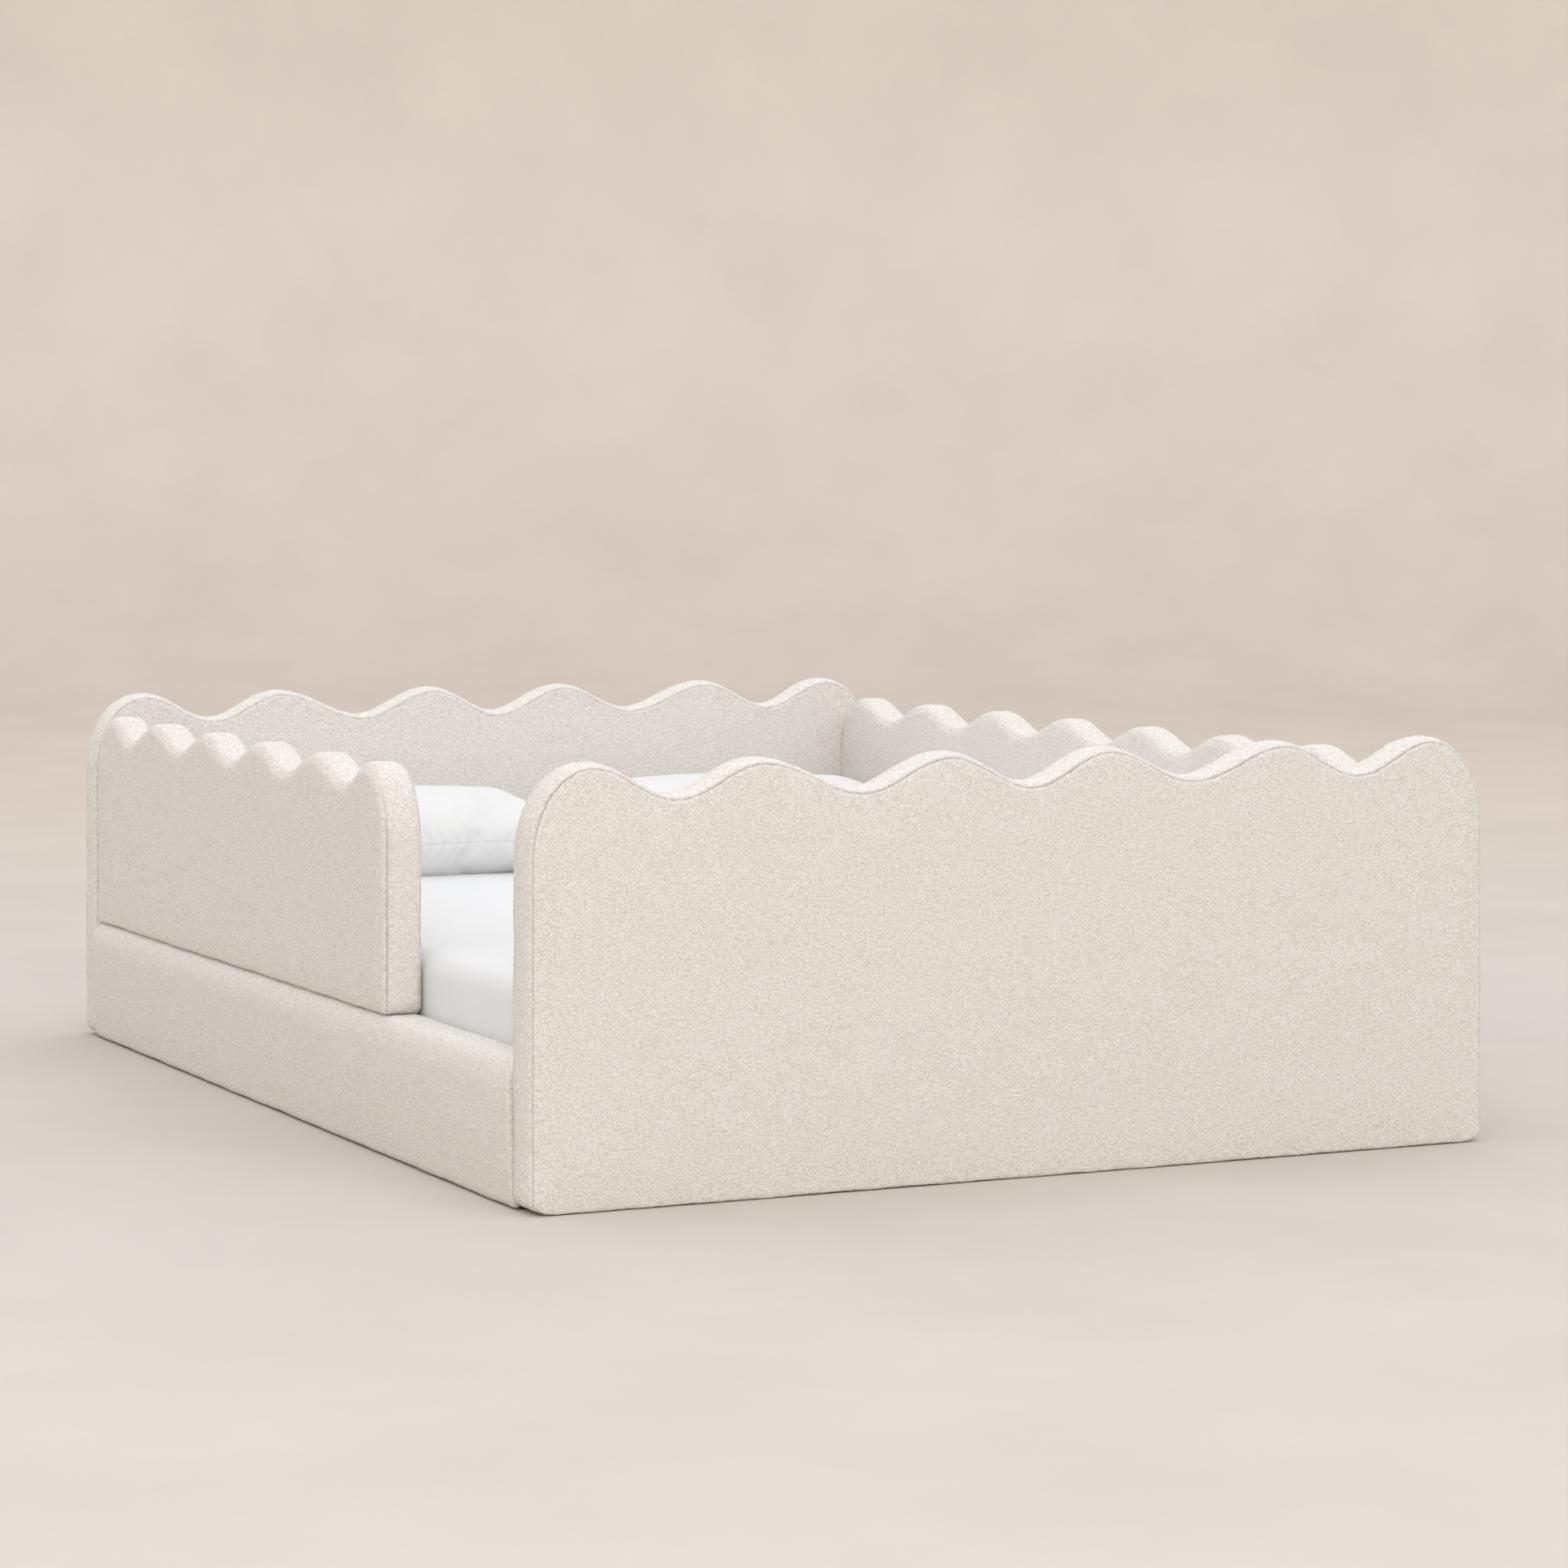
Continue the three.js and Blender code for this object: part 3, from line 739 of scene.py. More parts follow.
@dataclass
class RingSolid:
    """A closed solid made of rings round one loop, with a filled cap at each end.

    The loop lies in the plane of the first and third coordinates and the rings stack along the
    second. The loop runs clockwise as seen from the low end.
    """

    loop: np.ndarray
    normals: np.ndarray
    rings: list[tuple[np.ndarray | float, np.ndarray | float]]
    grid: float
    cap_rise: Callable[[np.ndarray], np.ndarray]

    def cap(self, ring: np.ndarray) -> tuple[np.ndarray, Faces]:
        """Fills the inside of a ring with a fine grid.

        Args:
            ring: Loop of the outermost ring of the cap.

        Returns:
            The inner points, and triangles over ring points and then inner points.
        """
        low, high = ring.min(axis=0), ring.max(axis=0)
        axes = [np.arange(low[k] + self.grid / 2, high[k], self.grid) for k in (0, 1)]
        field_x, field_y = np.meshgrid(*axes)
        spots = np.column_stack([field_x.ravel(), field_y.ravel()])
        spots = spots[inside(spots, ring)]
        gap = nearest(spots, ring)
        spots = spots[gap > self.grid * 0.45]
        every = np.vstack([ring, spots])
        edges = [(i, (i + 1) % len(ring)) for i in range(len(ring))]
        result = delaunay_2d_cdt([Vector(p) for p in every.tolist()], edges, [], 1, 1e-7)
        origin = [source[0] for source in result[3]]
        triangles = [tuple(origin[i] for i in face) for face in result[2]]
        return spots, [self.counterclockwise(every, face) for face in triangles]

    @staticmethod
    def counterclockwise(points: np.ndarray, face: tuple[int, ...]) -> tuple[int, ...]:
        """Returns the triangle's corners in counterclockwise order.

        Args:
            points: All points.
            face: Corner numbers.

        Returns:
            The ordered corner numbers.
        """
        a, b, c = (points[i] for i in face)
        area = (b[0] - a[0]) * (c[1] - a[1]) - (b[1] - a[1]) * (c[0] - a[0])
        return face if area > 0 else face[::-1]

    def build(self) -> tuple[np.ndarray, Faces]:
        """Builds the solid.

        Returns:
            The points and the faces.
        """
        count = len(self.loop)
        layers = []
        for offset, depth in self.rings:
            moved = self.loop + self.normals * np.reshape(offset, (-1, 1))
            across = np.broadcast_to(depth, count)
            layers.append(np.column_stack([moved[:, 0], across, moved[:, 1]]))
        faces: Faces = []
        for ring in range(len(layers) - 1):
            base = ring * count
            faces += [
                (base + i, base + (i + 1) % count, base + count + (i + 1) % count, base + count + i)
                for i in range(count)
            ]
        points = np.vstack(layers)
        for layer, first, sign in ((0, 0, -1.0), (-1, (len(layers) - 1) * count, 1.0)):
            ring = layers[layer][:, [0, 2]]
            spots, triangles = self.cap(ring)
            rise = self.cap_rise(nearest(spots, ring)) * sign
            depth = self.rings[layer][1] + rise
            start = len(points) - count
            points = np.vstack([points, np.column_stack([spots[:, 0], depth, spots[:, 1]])])
            for face in triangles:
                corners = [first + i if i < count else start + i for i in face]
                faces.append(tuple(corners if sign < 0 else corners[::-1]))
        return points, faces


def inside(spots: np.ndarray, ring: np.ndarray) -> np.ndarray:
    """Tells which spots lie inside a closed ring.

    Args:
        spots: Points to test.
        ring: Points of the ring.

    Returns:
        True for each spot inside.
    """
    result = np.zeros(len(spots), dtype=bool)
    after = np.roll(ring, -1, axis=0)
    for (x0, y0), (x1, y1) in zip(ring, after):
        if y0 == y1:
            continue
        spans = (spots[:, 1] >= y0) != (spots[:, 1] >= y1)
        crossing = x0 + (spots[:, 1] - y0) * (x1 - x0) / (y1 - y0)
        result ^= spans & (spots[:, 0] < crossing)
    return result


def nearest(spots: np.ndarray, ring: np.ndarray) -> np.ndarray:
    """Distance from each spot to the nearest ring point.

    Args:
        spots: Points to measure from.
        ring: Points to measure to.

    Returns:
        One distance per spot.
    """
    result = np.empty(len(spots))
    block = 2000
    for start in range(0, len(spots), block):
        part = spots[start:start + block]
        gaps = part[:, None, :] - ring[None, ::2, :]
        result[start:start + block] = np.sqrt((gaps ** 2).sum(axis=2).min(axis=1))
    return result


def ruffled(points: np.ndarray, size: float, height: float, seed: float) -> np.ndarray:
    """Noise heights for points.

    Args:
        points: Points, one per row.
        size: Size of a lump in metres.
        height: Greatest height of a lump in metres.
        seed: Shift that makes patterns differ.

    Returns:
        One height per point.
    """
    scaled = (points / size + seed).tolist()
    return np.array([noise.noise(spot) for spot in scaled]) * height


def vertices_of(piece: bpy.types.Object, what: str = "co") -> np.ndarray:
    """Places or normals of a mesh object's vertices.

    Args:
        piece: Mesh object.
        what: "co" for places or "normal" for normals.

    Returns:
        One row per vertex.
    """
    values = np.empty(len(piece.data.vertices) * 3)
    piece.data.vertices.foreach_get(what, values)
    return values.reshape(-1, 3)


def move_vertices(piece: bpy.types.Object, places: np.ndarray) -> None:
    """Puts a mesh object's vertices in new places, one per row."""
    piece.data.vertices.foreach_set("co", places.ravel())
    piece.data.update()


def swell_mesh(piece: bpy.types.Object, heights: np.ndarray) -> None:
    """Moves each vertex along its normal, by its height in metres."""
    move_vertices(piece, vertices_of(piece) + vertices_of(piece, "normal") * heights[:, None])


def mark_seams(piece: bpy.types.Object, shares: np.ndarray) -> None:
    """Stores how much of a seam's painted shade each vertex takes.

    Args:
        piece: Mesh object.
        shares: Share of each vertex, from 0 to 1; vertices past its end take none.
    """
    values = np.zeros(len(piece.data.vertices), dtype=np.float32)
    values[:len(shares)] = shares
    attribute = piece.data.attributes.new("seam", "FLOAT", "POINT")
    attribute.data.foreach_set("value", values)


def add_box(shape: bmesh.types.BMesh, low: np.ndarray, high: np.ndarray) -> None:
    """Adds a box to a mesh under construction.

    Args:
        shape: The mesh.
        low: Lowest corner.
        high: Highest corner.
    """
    corners = bmesh.ops.create_cube(shape, size=1.0)["verts"]
    bmesh.ops.scale(shape, vec=(high - low).tolist(), verts=corners)
    bmesh.ops.translate(shape, vec=((low + high) / 2).tolist(), verts=corners)


def freed(shape: bmesh.types.BMesh, name: str) -> bpy.types.Object:
    """Turns a mesh under construction into an object.

    Args:
        shape: The mesh, which is freed.
        name: Name of the object.

    Returns:
        The new object.
    """
    mesh = bpy.data.meshes.new(name)
    shape.to_mesh(mesh)
    shape.free()
    return in_scene(name, mesh)


def box_of(node: str) -> tuple[np.ndarray, np.ndarray]:
    """Returns the lowest and the highest corner of a node."""
    low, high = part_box(node)
    return np.array(low), np.array(high)


def eased_box(name: str, node: str, radius: float) -> bpy.types.Object:
    """A box as large as a node, with rounded edges.

    Args:
        name: Name of the piece.
        node: Node whose box it fills.
        radius: Radius of its edges.

    Returns:
        The new piece.
    """
    shape = bmesh.new()
    add_box(shape, *box_of(node))
    bmesh.ops.bevel(
        shape, geom=shape.edges[:], offset=radius, segments=3, profile=0.5, affect="EDGES"
    )
    return freed(shape, name)


def apply_modifiers(piece: bpy.types.Object) -> None:
    """Bakes a piece's modifiers into its mesh.

    Args:
        piece: Mesh object with modifiers.
    """
    graph = bpy.context.evaluated_depsgraph_get()
    mesh = bpy.data.meshes.new_from_object(piece.evaluated_get(graph))
    piece.modifiers.clear()
    piece.data = mesh


# ------------------------------------------------------------------ scalloped pads
@dataclass(frozen=True)
class Bump:
    """One scallop: its width and where its top lies across it, in millimetres."""

    width: float
    apex_at: float

    def mirrored(self) -> "Bump":
        """Returns the bump turned end for end."""
        return Bump(self.width, self.width - self.apex_at)


@dataclass(frozen=True)
class Scallops:
    """A scalloped outline, in millimetres, with its middle at zero."""

    length: float
    base: float
    apex: float
    dip: float
    corner_drop: float
    bumps: tuple[Bump, ...]
    foot: tuple[float, float]
    arc_steps: int = 24

    def foot_arc(self) -> list[tuple[float, float]]:
        """Rounds the bottom corner at the low end.

        Returns:
            The points from the base up to the side.
        """
        across, up = self.foot
        start = -self.length / 2
        return [(start + across * x, self.base + up * z) for x, z in quarter_turn(8)]

    def corner_arc(self) -> list[tuple[float, float]]:
        """Rounds the top corner at the low end.

        Returns:
            The points from the side up to just before the first top.
        """
        width, start = self.bumps[0].apex_at, -self.length / 2
        turn = quarter_turn(self.arc_steps)[:-1]
        return [(start + width * x, self.apex - self.corner_drop * z) for z, x in turn]

    def wave(self) -> list[tuple[float, float]]:
        """Draws the scalloped top.

        Returns:
            The points from the first top to the last.
        """
        stations = []
        start = -self.length / 2
        for bump in self.bumps:
            stations.append((start + bump.apex_at, self.apex))
            stations.append((start + bump.width, self.apex - self.dip))
            start += bump.width
        stations.pop()
        points = [stations[0]]
        for (x0, z0), (x1, z1) in zip(stations, stations[1:]):
            for step in range(1, self.arc_steps + 1):
                share = step / self.arc_steps
                ease = (1 - math.cos(math.pi * share)) / 2
                points.append((x0 + (x1 - x0) * share, z0 + (z1 - z0) * ease))
        return points

    def loop(self, pitch: float) -> np.ndarray:
        """Builds the closed outline, clockwise.

        Args:
            pitch: Distance between points in metres.

        Returns:
            The outline's points in metres.
        """
        foot, corner = self.foot_arc(), self.corner_arc()
        far = [(-x, z) for x, z in reversed(foot + corner)]
        path = np.array(foot + corner + self.wave() + far) * MM
        return resampled(path, pitch)


@dataclass(frozen=True)
class FaceRise:
    """How a padded face rises from its seam, in metres."""

    corner: float
    corner_width: float
    pillow: float
    pillow_width: float

    def at(self, inset: np.ndarray | float) -> np.ndarray | float:
        """Height of the face at a distance from the seam.

        Args:
            inset: Distance from the seam.

        Returns:
            The height over the seam's plane.
        """
        turn = 1.0 - np.clip(np.asarray(inset) / self.corner_width, 0.0, 1.0)
        slope = 1.0 - np.clip(np.asarray(inset) / self.pillow_width, 0.0, 1.0)
        return self.corner * np.sqrt(1.0 - turn ** 2) + self.pillow * (1.0 - slope ** 2)


@dataclass
class ScallopPad:
    """An upright foam pad with a scalloped top and a swollen band between its two faces."""

    name: str
    node: str
    body: str
    outline: Scallops
    thickness: float
    yaw: float
    place: tuple[float, float, float]
    front: FaceRise = FaceRise(3.5 * MM, 6 * MM, 3.0 * MM, 80 * MM)
    back: FaceRise = FaceRise(2.5 * MM, 5 * MM, 0.5 * MM, 60 * MM)
    crown: float = 8 * MM
    end_shares: tuple[float, float] = (1.0, 1.0)
    seam_depth: tuple[float, float] = (1.2 * MM, 3 * MM)
    # Painted seam shade on the side seams, on the front seam's top and on the back seam's top.
    painted_seam_shade: tuple[float, float, float] = (0.15, 0.8, 0.4)
    pitch: float = 4 * MM
    grid: float = 11 * MM
    insets: tuple[float, ...] = (8 * MM, 5.5 * MM, 3.6 * MM, 2.1 * MM, 1.1 * MM)
    lip: float = 3 * MM
    round_top: float = 0.0
    pile: float = 1.2 * MM
    seed: float = 0.0

    def band_shares(self) -> list[float]:
        """Spaces the rings across the band, close together at the seams.

        Returns:
            Where each ring lies, from 0 to 1.
        """
        near = [step * MM / self.thickness for step in (0.8, 1.9, 3.6, 6.5, 10.5)]
        first = 15.5 * MM / self.thickness
        middle = np.linspace(first, 1 - first, 8)
        return near + middle.tolist() + [1 - share for share in reversed(near)]

    def rings(self, normals: np.ndarray) -> list[tuple[np.ndarray | float, np.ndarray | float]]:
        """Lists the pad's rings from the front face to the back.

        Args:
            normals: Outward normals of the outline.

        Returns:
            Each ring's outward offset and depth.
        """
        sideways = normals[:, 0] ** 2
        share = np.where(normals[:, 0] < 0, self.end_shares[0], self.end_shares[1])
        swell = 1.0 - sideways + sideways * share
        swell *= 1.0 - np.clip(-normals[:, 1], 0.0, 1.0)
        shallow, deep = self.seam_depth
        upward = np.clip(normals[:, 1], 0.0, 1.0)
        crease = -shallow + (shallow - deep + self.round_top) * upward
        out = 0.85 * self.round_top * upward - 0.2 * MM
        rings = [(-inset, -float(self.front.at(inset))) for inset in self.insets]
        rings.append((crease, -out))
        for part in self.band_shares():
            gap = min(part, 1 - part) * self.thickness
            turn = 1.0 - min(gap / (self.lip * 1.6), 1.0)
            bulge = self.lip * math.sqrt(1.0 - turn ** 2)
            bulge += (self.crown - self.lip) * (1 - (2 * part - 1) ** 2)
            rings.append((swell * bulge, part * self.thickness))
        rings.append((crease, self.thickness + out))
        back = [(-inset, self.thickness + float(self.back.at(inset))) for inset in self.insets]
        return rings + back[::-1]

    def seam_shade_shares(self, normals: np.ndarray, ring_count: int) -> np.ndarray:
        """Paints shade into the two seams, most of all where they look up.

        Args:
            normals: Outward normals of the outline.
            ring_count: Number of rings.

        Returns:
            The share of each ring vertex.
        """
        side, front_top, back_top = self.painted_seam_shade
        upward = np.clip(normals[:, 1], 0.0, 1.0)
        front = len(self.insets)
        shares = np.zeros((ring_count, len(normals)))
        shares[front] = side + (front_top - side) * upward
        shares[ring_count - 1 - front] = side + (back_top - side) * upward
        return shares.ravel()

    def build(self) -> bpy.types.Object:
        """Builds, dresses and attaches the pad.

        Returns:
            The cover piece.
        """
        loop = self.outline.loop(self.pitch)
        normals = loop_normals(loop)
        start = self.insets[0]
        solid = RingSolid(
            loop, normals, self.rings(normals), self.grid,
            lambda gap: self.front.at(gap + start) - self.front.at(start),
        )
        points, faces = solid.build()
        edge_count = len(loop) * len(solid.rings)
        points[:, 1] -= self.thickness / 2
        points = turned(points, self.yaw, self.place)
        piece = new_piece(self.name, points, faces)
        heights = ruffled(points, 0.055, 1.1 * MM, self.seed)
        heights[:edge_count] += ruffled(points[:edge_count], 0.0065, self.pile, self.seed + 9.0)
        swell_mesh(piece, heights)
        mark_seams(piece, self.seam_shade_shares(normals, len(solid.rings)))
        hand_over(piece, Finish.CLOTH, self.body, self.node)
        return piece


PANEL_BUMPS = (Bump(208.5, 85.0), Bump(276.5, 125.5), Bump(260.0, 134.0))


@dataclass
class EndPanels:
    """The footboard and the headboard: the same padded panel twice."""

    thickness: float = 60 * MM
    middle_y: float = 997.5 * MM
    outline: Scallops = Scallops(
        length=1490.0, base=1.0, apex=584.5, dip=44.5, corner_drop=119.0,
        bumps=PANEL_BUMPS + tuple(bump.mirrored() for bump in reversed(PANEL_BUMPS)),
        foot=(34.0, 17.0),
    )

    def build(self) -> list[bpy.types.Object]:
        """Builds both padded covers.

        Returns:
            The two covers.
        """
        ends = (("footboard", -1.0, 0.0), ("headboard", 1.0, math.pi))
        return [
            ScallopPad(
                name=f"{end}_padding", node=f"{end}_cover", body="bed_frame", outline=self.outline,
                thickness=self.thickness, yaw=yaw, place=(0.0, side * self.middle_y, 0.0), seed=yaw * 7,
            ).build()
            for end, side, yaw in ends
        ]


@dataclass
class GuardPads:
    """The two guard rails' padding: a short one and one of full length."""

    thickness: float = 49 * MM
    middle_x: float = 716.5 * MM
    far_seam: float = 964.7
    near_seams: tuple[float, float] = (-468.7, -964.7)
    end_apex: float = 80.0

    def outline(self, length: float, count: int, inner: float) -> Scallops:
        """Lays out a guard's scallops.

        Args:
            length: Length between its end seams, in millimetres.
            count: Number of scallops.
            inner: Width of an inner scallop, in millimetres.

        Returns:
            The outline.
        """
        outer = (length - (count - 2) * inner) / 2
        first = Bump(outer, self.end_apex)
        bumps = (first, *[Bump(inner, inner / 2)] * (count - 2), first.mirrored())
        return Scallops(
            length=length, base=200.3, apex=550.0, dip=33.0, corner_drop=105.0, bumps=bumps,
            foot=(12.0, 12.0),
        )

    def build(self) -> list[bpy.types.Object]:
        """Builds both guards' padding.

        Returns:
            The two covers.
        """
        makes = (
            ("left", -1.0, self.near_seams[0], 6, 268.0, (1.0, 0.25)),
            ("right", 1.0, self.near_seams[1], 8, 256.5, (0.25, 0.25)),
        )
        pads = []
        for side, sign, near, count, inner, shares in makes:
            middle_y = (self.far_seam + near) / 2
            turned_over = sign < 0
            pads.append(ScallopPad(
                name=f"{side}_guard_padding", node=f"{side}_guard_cover", body=f"{side}_guard",
                outline=self.outline(self.far_seam - near, count, inner), thickness=self.thickness,
                yaw=-math.pi / 2 if turned_over else math.pi / 2,
                place=(sign * self.middle_x, middle_y * MM, 0.0),
                front=FaceRise(6.5 * MM, 14 * MM, 1.5 * MM, 70 * MM),
                back=FaceRise(5.0 * MM, 12 * MM, 0.5 * MM, 60 * MM),
                lip=7.5 * MM, round_top=1.8 * MM, seam_depth=(1.4 * MM, 0.0),
                insets=tuple(inset * MM for inset in (11, 8, 5.5, 3.6, 2.1, 1.0)),
                end_shares=shares[::-1] if turned_over else shares, seed=3.0 + sign,
                # Painted seam shade on the side seams only.
                painted_seam_shade=(0.3, 0.0, 0.0),
            ).build())
        return pads


# ------------------------------------------------------------------ side rails
POST_COUNTS = (("left", 3), ("right", 4))


@dataclass
class SideRails:
    """The two low padded side rails, cut open on top for the guards' posts."""

    half_length: float = 967.2 * MM
    top: float = 200 * MM
    outer_x: float = 757 * MM
    hem_x: float = 749.5 * MM
    inner_x: float = 687.5 * MM
    board_x: tuple[float, float] = (704.7 * MM, 735.3 * MM)
    board_top: float = 186.3 * MM
    inner_hem: float = 100 * MM
    inner_radius: float = 12 * MM
    shoulder: tuple[float, float] = (25 * MM, 45 * MM)
    hem: tuple[float, float] = (2 * MM, 9 * MM)
    pitch: float = 5.5 * MM
    clearance: float = 1 * MM

    def section(self) -> np.ndarray:
        """Draws the section of the left rail, clockwise.

        Returns:
            The points in x and z.
        """
        board_in, board_out = self.board_x
        wide, drop = self.shoulder
        low, high = self.hem
        middle = (board_out + self.hem_x) / 2
        reach = (self.hem_x - board_out) / 2
        points = [(-board_in, self.inner_hem), (-board_in, self.board_top), (-board_out, self.board_top)]
        for step in range(9):
            angle = math.pi * step / 8
            points.append((-middle + reach * math.cos(angle), high - (high - low) * math.sin(angle)))
        for step in range(1, 12):
            share = step / 12
            x = self.hem_x + (self.outer_x - self.hem_x) * (1 - (1 - share) ** 2)
            points.append((-x, high + (self.top - drop - high) * share))
        points += [(wide * x - self.outer_x, self.top - drop * z) for z, x in quarter_turn(12)]
        turn = self.inner_radius
        points += [(-self.inner_x - turn * x, self.top - turn * z) for x, z in quarter_turn(8)]
        points.append((-self.inner_x, self.inner_hem))
        return resampled(np.array(points), self.pitch)

    def cut_sockets(self, piece: bpy.types.Object, side: str, count: int) -> None:
        """Cuts the slots for the guard's posts.

        Args:
            piece: Rail cover to cut.
            side: "left" or "right".
            count: Number of posts.
        """
        cutter = bmesh.new()
        for number in range(1, count + 1):
            low, high = box_of(f"{side}_guard_post_{number}")
            low[:2] -= self.clearance
            high[:2] += self.clearance
            high[2] = self.top + 10 * MM
            add_box(cutter, low, high)
        tool = freed(cutter, "socket_cutter")
        cut = piece.modifiers.new("sockets", "BOOLEAN")
        cut.operation = "DIFFERENCE"
        cut.object = tool
        apply_modifiers(piece)
        bpy.data.objects.remove(tool)

    def build(self) -> list[bpy.types.Object]:
        """Builds both rail covers.

        Returns:
            The two covers.
        """
        section = self.section()
        normals = loop_normals(section)
        count = int(2 * self.half_length / self.pitch)
        places = np.linspace(-self.half_length + 3 * MM, self.half_length - 3 * MM, count)
        rings = [(-2.5 * MM, -self.half_length), (-0.8 * MM, -self.half_length + 1 * MM)]
        rings += [(0.0, float(place)) for place in places]
        rings += [(offset, -depth) for offset, depth in rings[1::-1]]
        points, faces = RingSolid(
            section, normals, rings, 9 * MM, lambda gap: np.zeros(len(gap))
        ).build()
        pads = []
        for (side, posts), yaw in zip(POST_COUNTS, (0.0, math.pi)):
            placed = turned(points, yaw, (0.0, 0.0, 0.0))
            piece = new_piece(f"{side}_rail_padding", placed, faces)
            heights = ruffled(placed, 0.06, 1.0 * MM, yaw)
            heights += ruffled(placed, 0.011, 0.5 * MM, yaw + 5.0)
            swell_mesh(piece, heights)
            self.cut_sockets(piece, side, posts)
            hand_over(piece, Finish.CLOTH, "bed_frame", f"{side}_rail_cover")
            pads.append(piece)
        return pads


# ------------------------------------------------------------------ mattress and pillows
@dataclass
class Mattress:
    """A foam mattress in a smooth fitted cover."""

    edge: float = 34 * MM
    corner: float = 60 * MM
    crown: float = 5 * MM
    crown_reach: float = 250 * MM
    pitch: float = 14 * MM
    grid: float = 22 * MM

    def loop(self, half_x: float, half_y: float) -> np.ndarray:
        """Draws the mattress's plan, clockwise.

        Args:
            half_x: Half of the width.
            half_y: Half of the length.

        Returns:
            The points.
        """
        points = []
        quarters = ((-1, 1, math.pi), (1, 1, math.pi / 2), (1, -1, 0.0), (-1, -1, -math.pi / 2))
        for side_x, side_y, start in quarters:
            for step in range(9):
                angle = start - math.pi / 2 * step / 8
                points.append((
                    side_x * (half_x - self.corner) + self.corner * math.cos(angle),
                    side_y * (half_y - self.corner) + self.corner * math.sin(angle),
                ))
        return resampled(np.array(points), self.pitch)

    def build(self) -> bpy.types.Object:
        """Builds the mattress.

        Returns:
            The mattress piece.
        """
        low, high = box_of("mattress")
        middle, half = (low + high) / 2, (high - low) / 2
        loop = self.loop(half[0], half[1])
        bend = [(-self.edge * inward, self.edge * up) for inward, up in quarter_turn(7)]
        height = high[2] - low[2]
        sides = [(0.0, self.edge + (height - 2 * self.edge) * share) for share in (0.2, 0.4, 0.6, 0.8)]
        rings = bend + sides + [(offset, height - depth) for offset, depth in reversed(bend)]
        solid = RingSolid(
            loop, loop_normals(loop), rings, self.grid,
            lambda gap: self.crown * eased(gap / self.crown_reach),
        )
        points, faces = solid.build()
        placed = np.column_stack([points[:, 0], points[:, 2], high[2] - points[:, 1]])
        placed[:, :2] += middle[:2]
        sunk = placed[:, 2] < low[2]
        placed[sunk, 2] = low[2]
        piece = new_piece("mattress_cover", placed, faces)
        heights = ruffled(placed, 0.22, 2.0 * MM, 2.0) + ruffled(placed, 0.07, 0.7 * MM, 4.0)
        heights[placed[:, 2] < low[2] + self.edge] = 0.0
        swell_mesh(piece, heights)
        hand_over(piece, Finish.SHEET, "mattress", "mattress")
        return piece


